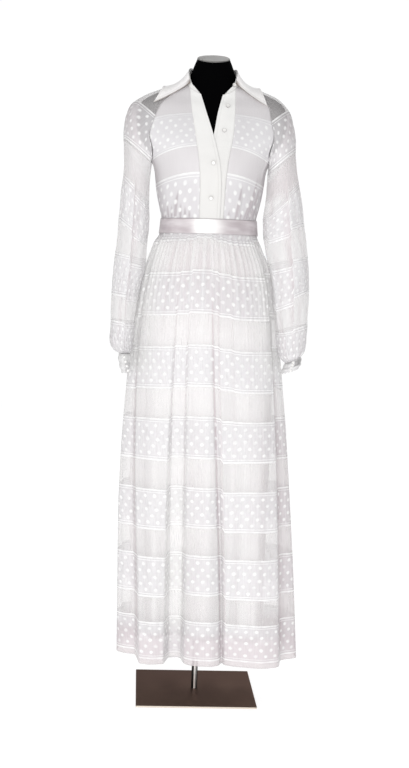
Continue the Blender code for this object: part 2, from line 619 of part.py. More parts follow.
def oval_ring(ring, side, folds=0.0, phase=0.0, count=2 * (RAGLAN_STEPS + 1)):
    """Ring from its under point, up the front to its top point and down the back."""
    turn = np.arange(count) * 2 * math.pi / count
    swell = 1.0 + folds * np.cos(SLEEVE_FOLDS * turn + phase)
    across = (1 - np.cos(turn)) / 2
    middle_x, middle_z = (ring.top_x + ring.under_x) / 2, (ring.top_z + ring.under_z) / 2
    x = middle_x + (ring.under_x + (ring.top_x - ring.under_x) * across - middle_x) * swell
    z = ring.under_z + (ring.top_z - ring.under_z) * across
    y = ring.centre_y - ring.half_depth * np.sin(turn) * swell
    return np.stack([side * x, y, z], axis=-1)


def seam_ring(side):
    """The raglan seam as a closed ring: underarm, front seam, shoulder at the neck, back seam."""
    front_angles, front_heights = raglan_points(side, False)
    back_angles, back_heights = raglan_points(side, True)
    middle = (RAGLAN_FRONT_ANGLE + RAGLAN_BACK_ANGLE) / 2
    angles = np.concatenate([front_angles, [middle], back_angles[:0:-1]])
    heights = np.concatenate([front_heights, [float(neck_height(middle))], back_heights[:0:-1]])
    return torso(side * angles, heights, ease(heights) + 0.0 * angles)


def skirt_edge(side, y, height):
    """How far out the skirt's side lies at a place, off the middle."""
    sizes = [read(SKIRT[::-1], name, height) for name in Skirt._fields]
    row = Skirt(*(float(size) for size in sizes))
    reach = 0.0
    for back in (False, True):
        hem = panel_folds(back, 90)[:, :2]
        turn = np.radians(np.linspace(0.0, 180.0, 91) + (90.0 if back else -90.0))
        line = skirt_section(row, hem, turn, 0.0)
        near = np.abs(line[:, 1] - y) < 0.010
        if near.any():
            reach = max(reach, float((side * line[near, 0]).max()) + row.gather)
    return reach


def beside_skirt(points, side, gap):
    """Moves points outwards until they clear the skirt."""
    for point in points:
        if point[2] < WAIST:
            limit = skirt_edge(side, point[1], point[2]) + CLOTH + gap
            point[0] = side * max(side * point[0], limit)
    return points


def outside_bodice(points, gap):
    """Moves points out along the form's section until they clear the bodice."""
    gap = ease(points[:, 2]) + CLOTH + gap
    width = read(TORSO, "half_width", points[:, 2]) + gap
    depth = np.where(points[:, 1] < 0, read(TORSO, "front", points[:, 2]), read(TORSO, "back", points[:, 2])) + gap
    reach = np.hypot(points[:, 0] / width, points[:, 1] / depth)
    push = np.where(reach < 1.0, 1.0 / np.maximum(reach, 0.2), 1.0)
    points[:, :2] *= push[:, None]
    return points


def sleeve_rings(side):
    table = SLEEVE_RIGHT if side < 0 else SLEEVE_LEFT
    cuff = (CUFF_RIGHT if side < 0 else CUFF_LEFT)[0]
    seam = seam_ring(side)
    first = oval_ring(table[0], side)
    top = (1 - np.cos(np.arange(len(seam)) * 2 * math.pi / len(seam))) / 2
    rings = []
    for step in range(SHOULDER_STEPS):
        share = step / SHOULDER_STEPS
        ring = seam * (1 - share) + first * share
        crest = ring[RAGLAN_STEPS + 1]
        ring[:, 2] += (float(read(SHOULDER, side_name(side), abs(crest[0]), key="x")) - crest[2]) * top ** 4
        if step:
            ring = outside_bodice(ring, CLOTH + 4 * SEAM)
        rings.append(ring)
    rings[0][:, 0] += side * (SEAM + (2 * CLOTH + 2 * SEAM) * (1 - top) ** 3)
    rings[0][:, 2] -= (CLOTH + SEAM) * (top > 0.97)
    for index, row in enumerate(table):
        share = min(1.0, max(0.0, (index - 2) / 5))
        ring = oval_ring(row, side, folds=SLEEVE_FOLD_DEPTH / row.half_depth * share, phase=0.25 * index)
        rings.append(beside_skirt(outside_bodice(ring, CLOTH + 4 * SEAM), side, 0.0015))
    last = oval_ring(cuff, side)
    last[:, 2] += CLOTH + 2 * TOUCH
    rings.append(last)
    return rings


def make_sleeve(side):
    """One cut piece of cloth in two solids, so that the bend at the elbow is open from both ends."""
    points = np.array(sleeve_rings(side)[::-1])
    if side < 0:
        points = points[:, ::-1]
    parting = len(points) - 1 - (SHOULDER_STEPS + PARTING_RING)
    lower, upper = points[:parting + 1].copy(), points[parting:].copy()
    lower[-1, :, 2] -= SEAM / 2
    upper[0, :, 2] += SEAM / 2
    sheet("sleeve_" + side_name(side) + "_lower", lower, "organza", closed=True)
    sheet("sleeve_" + side_name(side) + "_upper", upper, "organza", closed=True)


def make_cuff(side):
    table = CUFF_RIGHT if side < 0 else CUFF_LEFT
    rings = np.array([beside_skirt(oval_ring(ring, side), side, 0.0008) for ring in reversed(table)])
    if side < 0:
        rings = rings[:, ::-1]
    sheet("cuff_" + side_name(side), rings, "placket", closed=True)
    low, high = oval_ring(table[1], side), oval_ring(table[0], side)
    index = (RAGLAN_STEPS + 1) // 2
    for number in range(CUFF_BUTTONS):
        share = (number + 0.6) / (CUFF_BUTTONS + 0.2)
        place = low[index] * (1 - share) + high[index] * share
        place[1] -= CLOTH + TOUCH
        make_button("cuff_button_%s_%d" % (side_name(side), CUFF_BUTTONS - number), place, (0.0, -1.0, 0.0),
                    CUFF_BUTTON_RADIUS, CUFF_BUTTON_HEIGHT, 8)


# collar, belt and buttons

def stand_points():
    """Stand: its lower edge on the neckline, its upper edge through the stations, and one row between."""
    angles = np.linspace(STAND_TOP[0].angle, 180.0, COLLAR_COLUMNS // 2 + 1)
    low = torso(-angles, neck_height(angles) + 2 * SEAM, ease(1.54) + 0.0 * angles)
    high = np.stack([read(STAND_TOP, name, angles, key="angle") for name in "xyz"], axis=-1)
    half = np.array([low, (low + high) / 2, high])
    other = half[:, -2::-1] * (-1, 1, 1)
    return np.concatenate([half, other], axis=1)[:, ::-1]


def make_stand():
    points = stand_points()
    sheet("collar_stand", points, "placket", thickness=SATIN)
    spot = points[1, 1]
    along = points[1, 2] - points[1, 0]
    up = points[2, 1] - points[0, 1]
    normal = np.cross(along, up)
    normal = normal / np.linalg.norm(normal)
    make_button("button_1", spot + normal * (SATIN + 4 * TOUCH), normal, BUTTON_RADIUS, BUTTON_HEIGHT, 12)


def make_collar():
    rows = [COLLAR_FRONT_RIGHT] + list(COLLAR)
    rows += [Fall(*((-x, y, z) for x, y, z in fall)) for fall in COLLAR[-2::-1]] + [COLLAR_FRONT_LEFT]
    grid = np.array([tuple(row) for row in rows])
    places = np.concatenate([[0.0], np.cumsum(np.linalg.norm(np.diff(grid[:, 1], axis=0), axis=1))])
    wanted = np.linspace(0.0, places[-1], COLLAR_COLUMNS + 1)
    lines = np.array([[smooth(wanted, places, grid[:, line, axis]) for axis in range(3)] for line in range(3)])
    lines = lines.transpose(0, 2, 1)
    steps = np.array(COLLAR_STEPS)[:, None, None]
    points = (1 - steps) ** 2 * lines[0] + 2 * steps * (1 - steps) * lines[1] + steps ** 2 * lines[2]
    sheet("collar", points[::-1, ::-1], "placket", thickness=SATIN)


def make_belt():
    turn = np.arange(BELT_COLUMNS) * 360.0 / BELT_COLUMNS
    rings = [torso(turn, BELT_BOTTOM, UNDER_BELT + BELT_FLARE), torso(turn, BELT_TOP, UNDER_BELT)]
    sheet("belt", np.array(rings), "satin", closed=True, thickness=SATIN)


def make_button(name, place, normal, radius, height, sides):
    """Covered button: a domed disc with its flat back at the place, facing along the normal."""
    profile = ((0.55, 0.9), (0.92, 0.5), (0.94, 0.0))
    shape = bmesh.new()
    rings = []
    for reach, rise in profile:
        ring = [shape.verts.new((radius * reach * math.cos(2 * math.pi * step / sides),
                                 radius * reach * math.sin(2 * math.pi * step / sides), height * rise))
                for step in range(sides)]
        rings.append(ring)
    crown = shape.verts.new((0.0, 0.0, height))
    for step in range(sides):
        beside = (step + 1) % sides
        shape.faces.new((crown, rings[0][step], rings[0][beside]))
        for high, low in zip(rings, rings[1:]):
            shape.faces.new((high[step], low[step], low[beside], high[beside]))
    shape.faces.new(rings[-1][::-1])
    mesh = bpy.data.meshes.new(name)
    shape.to_mesh(mesh)
    shape.free()
    button = add_object(name, mesh, "placket")
    button.location = Vector(place)
    button.rotation_euler = Vector(normal).to_track_quat("Z", "Y").to_euler()
    mesh.shade_smooth()


def make_front_buttons():
    for number, button in enumerate(BUTTONS, start=2):
        out = float(ease(button.z)) + CLOTH + TOUCH + (BAND_OVER if button.band == "right" else 0.0)
        angle = float(angle_at(button.x, button.z, out))
        place = torso(angle, button.z, out)
        beside = torso(angle + 1.0, button.z, out) - torso(angle - 1.0, button.z, out)
        above = torso(angle, button.z + 0.004, out) - torso(angle, button.z - 0.004, out)
        normal = np.cross(beside, above)
        normal = normal / np.linalg.norm(normal)
        make_button("button_%d" % number, place + normal * TOUCH, normal, BUTTON_RADIUS, BUTTON_HEIGHT, 12)


clear_scene()
gown = bpy.data.collections.new("gown_on_form")
bpy.context.scene.collection.children.link(gown)
make_base()
make_pole()
make_form()
make_neck_cap()
for wearer_side in (-1, 1):
    make_front(wearer_side)
    make_sleeve(wearer_side)
    make_cuff(wearer_side)
make_back()
make_bands()
make_skirt(back=False)
make_skirt(back=True)
make_lining()
make_stand()
make_collar()
make_belt()
make_front_buttons()
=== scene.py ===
import math

import bpy
import numpy as np
from mathutils import Matrix, Vector


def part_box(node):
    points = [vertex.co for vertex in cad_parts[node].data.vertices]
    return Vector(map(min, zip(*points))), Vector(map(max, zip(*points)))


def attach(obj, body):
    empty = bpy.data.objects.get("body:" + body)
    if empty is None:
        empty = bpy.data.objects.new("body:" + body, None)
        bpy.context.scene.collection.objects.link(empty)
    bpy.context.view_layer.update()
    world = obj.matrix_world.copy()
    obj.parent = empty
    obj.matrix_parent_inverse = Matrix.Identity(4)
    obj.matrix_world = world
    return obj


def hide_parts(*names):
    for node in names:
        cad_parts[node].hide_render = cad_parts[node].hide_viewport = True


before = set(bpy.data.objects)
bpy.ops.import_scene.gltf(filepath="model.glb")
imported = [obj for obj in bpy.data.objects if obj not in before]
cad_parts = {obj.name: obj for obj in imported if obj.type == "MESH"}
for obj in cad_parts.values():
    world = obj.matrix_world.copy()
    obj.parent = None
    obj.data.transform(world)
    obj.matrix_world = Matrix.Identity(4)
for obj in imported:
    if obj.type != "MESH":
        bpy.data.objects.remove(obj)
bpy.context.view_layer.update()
print("frame loaded:", len(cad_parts), "nodes")

tau = 2 * math.pi
sideName = {-1: "right", 1: "left"}           # the wearer's side at -X and at +X


# tables: named columns over rows of numbers, in metres and degrees

def numbers(text):
    return np.array(text.replace(",", " ").split(), float)


def table(names, text):
    names = names.split()
    return dict(zip(names, numbers(text).reshape(-1, len(names)).T))


def curveThrough(value, stations, amounts, crisp=False):
    # cubic pieces through the stations, each slope the mean of its neighbours'
    slopes = np.gradient(amounts, stations)
    if crisp:
        # harmonic mean instead, and none at a peak, so that a step between two flats stays sharp
        rises = np.diff(amounts) / np.diff(stations)
        before, after = rises[:-1], rises[1:]
        same = before * after > 0
        slopes[1:-1] = np.where(same, 2 * before * after / np.where(same, before + after, 1.0), 0.0)
    value = np.clip(value, stations[0], stations[-1])
    index = np.clip(np.searchsorted(stations, value) - 1, 0, len(stations) - 2)
    span = stations[index + 1] - stations[index]
    part = (value - stations[index]) / span
    rise = amounts[index + 1] - amounts[index]
    bend = (1 - part) * (slopes[index] * span - rise) + part * (rise - slopes[index + 1] * span)
    return amounts[index] + part * rise + part * (1 - part) * bend


def throughRings(rings, stations, wanted):
    # the same for every point of a row of rings
    lines = [curveThrough(wanted, stations, line) for line in rings.reshape(len(rings), -1).T]
    return np.stack(lines, axis=-1).reshape(len(wanted), *rings.shape[1:])


def read(rows, name, value, key="height"):
    return curveThrough(value, rows[key], rows[name])


def clothDown(level, lines):
    # cloth place at a height, between the lines that the stripes follow
    return np.interp(-level, -lines["height"], lines["cloth"])


def smoothStep(value, none, full):
    part = np.clip((value - none) / (full - none), 0.0, 1.0)
    return part * part * (3 - 2 * part)


def ramp(value, amount, none, full):
    return amount * smoothStep(value, none, full)


def window(value, start, full, last, end):
    # up from 0 at start to 1 at full, and down from 1 at last to 0 at end
    return smoothStep(value, start, full) * smoothStep(value, end, last)


def bell(away, width):
    return np.exp(-(away / width) ** 2)


def ridges(value, rows):
    # rows of height, place and width
    return sum(height * bell(value - place, width) for height, place, width in rows)


def ripple(turn, rows, waves, seed, drift=1.0):
    # sum of sine waves round the piece, whose phases wander along it; between -1 and 1
    random = np.random.default_rng(seed)
    total = np.zeros(np.broadcast(turn, rows).shape)
    for wave in waves:
        start, wander, beat = random.uniform(0, tau, 3)
        size = random.uniform(0.6, 1.0)
        phase = start + drift * np.sin(rows * (1.1 + 0.5 * beat / tau) + wander)
        total = total + size * np.sin(wave * turn + phase) * (0.75 + 0.25 * np.sin(rows * 0.9 + beat))
    return total / len(waves)


formSection = table(
    "height halfWidth front back centre",
    ".86 .14 .09 .1 0, .9 .149 .097 .109 0, .98 .155 .102 .115 0, 1.06 .148 .099 .107 0, 1.09 .1405 .0965 .101 0, "
    "1.12 .1305 .0915 .0945 0, 1.145 .1225 .0875 .088 0, 1.165 .118 .0855 .0845 0, 1.185 .1165 .0848 .083 0, "
    "1.205 .1172 .0855 .083 0, 1.235 .1205 .0895 .084 0, 1.285 .129 .101 .09 0, 1.335 .1375 .116 .097 0, "
    "1.37 .156 .116 .1 0, 1.4 .179 .109 .101 0, 1.43 .188 .099 .099 0, 1.46 .188 .086 .093 0, "
    "1.478 .183 .078 .087 0, 1.49 .1755 .071 .081 0, 1.5 .163 .066 .076 0, 1.5085 .147 .063 .072 0, "
    "1.519 .119 .059 .067 0, 1.526 .095 .0565 .0635 0, 1.535 .073 .0545 .06 0, 1.545 .062 .0525 .0565 -.001, "
    "1.566 .0535 .049 .048 -.003, 1.582 .047 .045 .043 -.007, 1.5964 .0405 .0405 .0405 -.0095")

body = {
    "waist": 1.1845, "underarm": 1.3435, "seamRadius": 0.11, "wall": 0.0007, "bandOver": 0.0015,
    "ease": table("height bodice",
                  "1.1845 .0005, 1.2 .0005, 1.208 .0008, 1.225 .0028, 1.25 .0045, 1.3 .004, 1.345 .0044, "
                  "1.37 .0048, 1.42 .0034, 1.5 .0028, 1.56 .0028"),
    "neckline": table("angle height", "10 1.5045, 33 1.525, 64 1.536, 90 1.542, 116 1.5435, 180 1.55"),
    "frontNeckAngle": 64.0, "backNeckAngle": 116.0,
    "raglan": table("height right left",
                    "1.36 .1412 .142, 1.38 .1433 .1455, 1.4124 .1488 .1515, 1.445 .1385 .144, 1.479 .1235 .1362, "
                    "1.505 .098 .108"),
    "bands": table("height rightSeam rightEdge leftEdge leftSeam rise",
                   "1.1845 -.0215 .0275 -.0165 .034 0, 1.333 -.0256 .0234 -.012 .042 0, "
                   "1.4075 -.037 .004 .0065 .0526 0, 1.46 -.047 -.0135 .0145 .055 .004, "
                   "1.5045 -.0545 -.028 .025 .0545 .0205"),
}


def torso(angle, height, out):
    # the form's section, an oval of its own half width and depths, moved out; 0 degrees is the front
    angle, height = np.broadcast_arrays(np.radians(angle), np.asarray(height, float))
    width = read(formSection, "halfWidth", height) + out
    depth = np.where(np.cos(angle) > 0, read(formSection, "front", height), read(formSection, "back", height)) + out
    y = read(formSection, "centre", height) - depth * np.cos(angle)
    return np.stack([width * np.sin(angle), y, height + 0.0 * y], axis=-1)


def angleAt(x, height, out):
    return np.degrees(np.arcsin(np.clip(x / (read(formSection, "halfWidth", height) + out), -1.0, 1.0)))


def neckHeight(angle):
    return read(body["neckline"], "height", angle, key="angle")


def ease(height):
    return read(body["ease"], "bodice", height)


# meshes

shownNames = {"collar": "collarFall", "belt": "ribbonBelt"}


def shownName(node):
    # skirt_front is shown as skirtFront
    first, *rest = node.split("_")
    return shownNames.get(node, first + "".join(word.title() for word in rest))


def arcAlong(points, axis):
    # running length of the grid's lines, starting at 0
    steps = np.linalg.norm(np.diff(points, axis=axis), axis=-1)
    total = np.cumsum(steps, axis=axis)
    return np.concatenate([np.zeros_like(np.take(total, [0], axis=axis)), total], axis=axis)


def gridNormals(points, closed=False):
    # unit normals of a grid whose rows run up and whose columns run anticlockwise
    along = np.gradient(points, axis=1)
    if closed:
        along = (np.roll(points, -1, axis=1) - np.roll(points, 1, axis=1)) / 2
    normal = np.cross(along, np.gradient(points, axis=0))
    return normal / np.maximum(np.linalg.norm(normal, axis=-1, keepdims=True), 1e-9)


def closeUp(points):
    return np.concatenate([points, points[:, :1]], axis=1)


def addPiece(node, points, material, slot, nodes=None, cloth=None, closed=False, **values):
    # a grid of points becomes quads, with a cloth map in metres and values at the points
    rows, columns = points.shape[:2]
    row, column = np.meshgrid(np.arange(rows - 1), np.arange(columns if closed else columns - 1), indexing="ij")
    start, beside = row * columns + column, row * columns + (column + 1) % columns
    quads = np.stack([start, beside, beside + columns, start + columns], axis=-1)
    mesh = bpy.data.meshes.new(shownName(node))
    mesh.from_pydata(points.reshape(-1, 3).tolist(), [], quads.reshape(-1, 4).tolist())
    if cloth is not None:
        corners = np.stack([cloth[row, column], cloth[row, column + 1],
                            cloth[row + 1, column + 1], cloth[row + 1, column]], axis=2)
        mesh.uv_layers.new(name="cloth").data.foreach_set("uv", corners.reshape(-1).astype(np.float32))
    for key, amounts in values.items():
        attribute = mesh.attributes.new(key, "FLOAT", "POINT")
        attribute.data.foreach_set("value", amounts.reshape(-1).astype(np.float32))
    mesh.update()
    mesh.shade_smooth()
    mesh.materials.append(material)
    piece = bpy.data.objects.new(mesh.name, mesh)
    bpy.context.scene.collection.objects.link(piece)
    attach(piece, "root")
    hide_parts(*(nodes or [node]))
    return piece


def addCloth(node, points, material, slot, wall, shade, cloth=None, closed=False, turned="", nodes=None, **values):
    # a walled sheet; turned names the ways of the grid that are turned round, so that its wall lies outside
    if cloth is None:
        whole = closeUp(points) if closed else points
        cloth = np.stack([arcAlong(whole, 1), arcAlong(whole, 0)], axis=-1)
    shade = np.clip(shade, 0, 1) + 0 * points[..., 0]
    if "rows" in turned:
        points, cloth, shade = points[::-1], cloth[::-1], shade[::-1]
    if "columns" in turned:
        points, cloth, shade = points[:, ::-1], cloth[:, ::-1], shade[:, ::-1]
        if closed:
            points, shade = np.roll(points, 1, axis=1), np.roll(shade, 1, axis=1)
    # the shade values go on as a point attribute, which the materials mix towards their shadow colour as painted shade
    piece = addPiece(node, points, materials[material], slot, nodes, cloth, closed, fold=shade, **values)
    layer = piece.modifiers.new("wall", "SOLIDIFY")
    layer.thickness, layer.offset = wall, 1.0
    return piece


# materials

def put(socket, value):
    if isinstance(value, Value):
        socket.id_data.links.new(value.socket, socket)
    elif isinstance(value, tuple) and len(socket.default_value) == 4:
        socket.default_value = (*value, 1.0)
    else:
        socket.default_value = value


def addNode(tree, kind, inputs=(), output=0, **settings):
    node = tree.nodes.new("ShaderNode" + kind)
    for name, setting in settings.items():
        setattr(node, name, setting)
    for key, value in inputs.items() if isinstance(inputs, dict) else enumerate(inputs):
        put(node.inputs[key], value)
    return Value(node.outputs[output])


class Value:
    # what a node gives out; values can be added, taken away, multiplied and divided
    def __init__(self, socket):
        self.socket = socket

    def into(self, kind, inputs, **settings):
        return addNode(self.socket.id_data, kind, inputs, **settings)

    def maths(self, operation, *others):
        return self.into("Math", (self, *others), operation=operation)

    def fade(self, fromLow, fromHigh, toLow=0.0, toHigh=1.0):
        return self.into("MapRange", (self, fromLow, fromHigh, toLow, toHigh), interpolation_type="SMOOTHSTEP")

    def mix(self, first, second):
        return self.into("Mix", {0: self, 6: first, 7: second}, output=2, data_type="RGBA")

    def stretch(self, *size):
        return self.into("Mapping", {"Vector": self, "Scale": size})

    def noise(self, scale, detail=2.0, rough=0.5):
        return self.into("TexNoise", {"Vector": self, "Scale": scale, "Detail": detail, "Roughness": rough})

    def apart(self):
        return [Value(output) for output in self.into("SeparateXYZ", (self,)).socket.node.outputs]


for sign, kind in (("add", "ADD"), ("sub", "SUBTRACT"), ("mul", "MULTIPLY"), ("truediv", "DIVIDE")):
    setattr(Value, "__%s__" % sign, lambda value, other, kind=kind: value.maths(kind, other))


class Shade:
    # short hand for a material and its nodes
    def __init__(self, name):
        self.material = bpy.data.materials.new(name)
        self.material.use_nodes = True

    def add(self, kind, inputs=(), **settings):
        return addNode(self.material.node_tree, kind, inputs, **settings)

    def cloth(self):
        return self.add("UVMap", uv_map="cloth")

    def place(self):
        return self.add("TexCoord", output="Object")

    def attribute(self, name):
        return self.add("Attribute", output="Fac", attribute_name=name)

    def finish(self, relief=None, **sockets):
        # relief gives a height, its depth and its strength; baseColor is the socket Base Color
        if relief:
            sockets["normal"] = self.add("Bump", dict(zip(("Height", "Distance", "Strength"), relief)))
        shader = self.material.node_tree.nodes["Principled BSDF"]
        named = {socket.name.replace(" ", "").lower(): socket for socket in shader.inputs}
        for name, value in sockets.items():
            put(named[name.lower()], value)
        return self.material


weave = {
    "repeat": 0.181, "dotted": 0.106,         # depth of one repeat and of its dotted band
    "lines": ((0.0022, 0.0021), (0.0088, 0.0008)),              # bold and thin stripe: distance in, half width
    "firstRow": 0.0190, "rowGap": 0.0170, "lastRow": 4.0, "dotGap": 0.0256, "dotRadius": 0.0045,
    "rim": (0.0024, 0.0020), "thread": 0.0011, "astray": 0.0060, "faintest": 0.60, "fuzz": 0.0016, "soft": 0.0004,
    # shares of streak colour and of painted shade; the lit colours are painted light for the ground and for the figures
    "streakMix": 0.22, "shadowMix": 0.65, "lit": (0.925, 0.92, 0.915), "litRaised": (0.995, 0.995, 0.99),
    "shoulder": (1.434, 1.444), "turnedHem": (0.150, 0.185, 0.14, 0.0),
}
thinLook = {
    "plain": (0.80, 0.785, 0.785), "ground": (0.83, 0.82, 0.835), "shadow": (0.50, 0.38, 0.41),
    "raised": (0.93, 0.93, 0.925), "streak": (0.97, 0.96, 0.96), "high": 1.0,
}
linedLook = {
    "plain": (0.63, 0.61, 0.62), "ground": (0.66, 0.65, 0.665), "shadow": (0.32, 0.27, 0.29),
    "raised": (0.80, 0.80, 0.795), "streak": (0.80, 0.79, 0.79), "high": 0.42,
}


def fabricPattern(place):
    # bands of staggered dots between double stripes, from the cloth map: u across, v down the cloth
    across, down, _ = place.apart()
    within = down.maths("FLOORED_MODULO", weave["repeat"])
    inBand = within.fade(weave["dotted"], weave["dotted"] + 0.0008, 1.0, 0.0)
    # the dots sit a little unevenly, have a soft rim, and some are fainter
    astray, aside = ((place.stretch(*size).noise(scale, 1.0) - 0.5) * weave["astray"]
                     for size, scale in (((1.0, 1.0, 1.0), 31.0), ((-1.0, 1.3, 1.0), 27.0)))
    strength = place.noise(47.0).fade(0.36, 0.58, weave["faintest"], 1.0)
    row = ((within - weave["firstRow"]) / weave["rowGap"]).maths("ROUND")
    row = row.maths("MAXIMUM", 0.0).maths("MINIMUM", weave["lastRow"])
    up = within - (row * weave["rowGap"] + weave["firstRow"]) + astray
    across = across + aside
    shift = row.maths("FLOORED_MODULO", 2.0) * (weave["dotGap"] / 2)
    along = (across + shift).maths("FLOORED_MODULO", weave["dotGap"]) - weave["dotGap"] / 2
    away = (up * up + along * along).maths("SQRT") + (place.noise(700.0, 1.0) - 0.5) * weave["fuzz"]
    inner, outer = weave["rim"]
    raised = away.fade(weave["dotRadius"] - inner, weave["dotRadius"] + outer, 1.0, 0.0)
    for distance, half in weave["lines"]:
        for line in (distance, weave["dotted"] - distance):
            away = (within - line).maths("ABSOLUTE")
            raised = raised.maths("MAXIMUM", away.fade(half - weave["soft"], half + weave["soft"], 0.92, 0.0))
    warp, weft = ((way * (tau / weave["thread"])).maths("SINE") for way in (across, down))
    streaks = place.stretch(260.0, 14.0, 1.0).noise(1.0)
    return inBand, raised * strength, warp * weft * 0.5 + 0.5, streaks


def organza(name, look, cover=None):
    # cover gives how much of what lies behind one wall hides: plain ground, dotted ground, raised figures
    shade = Shade(name)
    inBand, raised, threads, streaks = fabricPattern(shade.cloth())
    height = shade.place().apart()[2]
    fold, glow = shade.attribute("fold"), shade.attribute("glow")
    colour = (streaks * weave["streakMix"]).mix(inBand.mix(look["plain"], look["ground"]), look["streak"])
    # folds, gathers, creases and the thin hem get painted shade; the skirt's recess and hips get painted light in the
    # paler lit colours
    colour = glow.mix((fold * weave["shadowMix"]).mix(colour, look["shadow"]), weave["lit"])
    # towards the shoulders the lined cloth's stripes and dots are made fainter
    dulled = raised * height.fade(*weave["shoulder"], 1.0, look["high"])
    sockets = {"baseColor": dulled.mix(colour, glow.mix(look["raised"], weave["litRaised"]))}
    if cover:
        # a wall is two faces, so each face hides 1 - sqrt(1 - cover); the turned hem is a little closer
        plain, ground, figure = (1 - math.sqrt(1 - amount) for amount in cover)
        hide = (inBand * (ground - plain) + plain) * (streaks * 0.5 + 0.75) + fold * 0.20
        hide = hide + height.fade(*weave["turnedHem"])
        sockets["alpha"] = hide - raised * (hide - figure)
    return shade.finish((raised * 0.8 + threads * 0.12 + streaks * 0.35, 0.0006, 0.7), roughness=0.62,
                        sheenWeight=0.15, sheenRoughness=0.4, specularIorLevel=0.3, **sockets)


def plainCloth(name, colour, warm, shadow, deep=0.7, hemLine=False):
    # closely woven cloth: fine crossing threads, slubs, a faint change of tone, and a turned hem; painted shade is
    # mixed in where the shade values are high, as strongly as deep says
    shade = Shade(name)
    place = shade.cloth()
    across, down, _ = place.apart()
    warp, weft = ((way * (tau / 0.0007)).maths("SINE") for way in (across, down))
    slubs = place.stretch(30.0, 600.0, 1.0).noise(1.0, 3.0)
    fold = shade.attribute("fold")
    # the lining's turned hem: its edge and a line of stitches are darkened with the same shadow colour
    if hemLine:
        stitches = (down - 0.0120).maths("ABSOLUTE").fade(0.0004, 0.0014, 0.35, 0.0)
        fold = fold.maths("MAXIMUM", down.fade(0.0006, 0.0032, 0.60, 0.0).maths("MAXIMUM", stitches))
    colour = (fold * deep).mix(place.noise(14.0).fade(0.3, 0.7).mix(colour, warm), shadow)
    relief = slubs * 0.6 + (warp * weft * 0.5 + 0.5) * 0.4
    return shade.finish((relief, 0.0003, 0.5), baseColor=colour, roughness=0.7, sheenWeight=0.1,
                        specularIorLevel=0.25)


def ribbonSatinPaintedHighlight(name):
    # satin: long floats along the ribbon give it streaks; a painted highlight lightens it where it faces the front, and
    # painted shade darkens its edges and dents
    shade = Shade(name)
    cloth = shade.cloth()
    streaks = cloth.stretch(4.0, 420.0, 1.0).noise(1.0, 3.0, 0.6)
    tone = cloth.stretch(16.0, 60.0, 1.0).noise(1.0).fade(0.25, 0.75)
    x, y, _ = shade.place().apart()
    # painted highlight on the front middle, broken by the streaks
    paintedHighlight = x.fade(-0.050, -0.022) * x.fade(0.000, 0.060, 1.0, 0.0) * y.fade(-0.05, -0.04, 1.0, 0.0)
    paintedHighlight = paintedHighlight * streaks.fade(0.30, 0.62, 0.72, 1.0)
    colour = paintedHighlight.mix(tone.mix((0.50, 0.445, 0.465), (0.70, 0.655, 0.67)), (0.80, 0.795, 0.785))
    # painted shade along the edges and in the dents
    colour = (shade.attribute("fold") * 0.6).mix(colour, (0.28, 0.235, 0.25))
    return shade.finish((streaks, 0.0004, 0.6), baseColor=colour, roughness=streaks * 0.15 + 0.34, metallic=0.25,
                        specularIorLevel=0.6, sheenWeight=0.1)


def capFinish(name):
    # dull grey metal with a slightly uneven polish
    shade = Shade(name)
    marks = shade.place().noise(40.0, 3.0, 0.6)
    colour = shade.place().noise(9.0).mix((0.20, 0.195, 0.188), (0.25, 0.245, 0.237))
    return shade.finish((marks, 0.00012, 0.35), baseColor=colour, roughness=marks * 0.14 + 0.42, metallic=0.75)


def poleWithPaintedReflection(name):
    # polished tube with a painted reflection: dark towards both sides, with one bright streak down its front and a grey
    # one beside it
    shade = Shade(name)
    reach = shade.place().apart()[0] / poleRadius
    streak = (reach - 0.08).maths("ABSOLUTE").fade(0.16, 0.42, 1.0, 0.0)
    beside = (reach - 0.52).maths("ABSOLUTE").fade(0.10, 0.32, 0.42, 0.0)
    marks = shade.place().stretch(60.0, 60.0, 1.5).noise(30.0, 3.0, 0.6)
    colour = streak.maths("MAXIMUM", beside).mix((0.030, 0.027, 0.025), (0.80, 0.79, 0.77))
    return shade.finish(baseColor=colour, roughness=marks * 0.14 + 0.24, metallic=0.9)


def plateWithPaintedSheen(name):
    # dark bronze drawn across, with a painted sheen that makes it a little lighter towards the front, and a painted
    # reflection on its pale side faces
    shade = Shade(name)
    _, y, z = shade.place().apart()
    marks = shade.place().stretch(2.0, 60.0, 1.0).noise(14.0, 3.0, 0.6)
    # painted sheen, lighter towards the front
    front = (shade.place().noise(8.0) * 0.12 + y).fade(-0.10, 0.17, 1.0, 0.0)
    colour = (marks * 0.25).mix(front.mix((0.050, 0.029, 0.024), (0.130, 0.088, 0.068)), (0.150, 0.115, 0.095))
    # painted reflection on the side faces
    colour = z.fade(plateTop - 0.0012, plateTop - 0.0006, 1.0, 0.0).mix(colour, (0.62, 0.56, 0.49))
    return shade.finish((marks, 0.00012, 0.35), baseColor=colour, specularTint=(0.90, 0.76, 0.71),
                        roughness=marks * 0.14 + 0.40, metallic=1.0)


def formFinish(name):
    # matt black cover, close woven, with a trace of lint
    shade = Shade(name)
    lint = shade.place().noise(260.0, 3.0, 0.7).fade(0.66, 0.80)
    colour = lint.mix((0.0008, 0.0008, 0.0010), (0.0030, 0.0030, 0.0034))
    return shade.finish((shade.place().noise(1400.0), 0.0002, 0.4), baseColor=colour, roughness=0.95,
                        specularIorLevel=0.02)


def pearlWithPaintedRimShade(name):
    # small covered buttons: pale cloth with a soft pearly glaze, and painted shade round the rim
    shade = Shade(name)
    colour = shade.place().noise(380.0).mix((0.74, 0.73, 0.715), (0.80, 0.79, 0.775))
    # painted shade where the shade values are high
    colour = (shade.attribute("fold") * 0.8).mix(colour, (0.30, 0.28, 0.27))
    return shade.finish((shade.place().noise(1500.0, 1.0), 0.0001, 0.3), baseColor=colour, roughness=0.35,
                        coatWeight=0.25, coatRoughness=0.3)


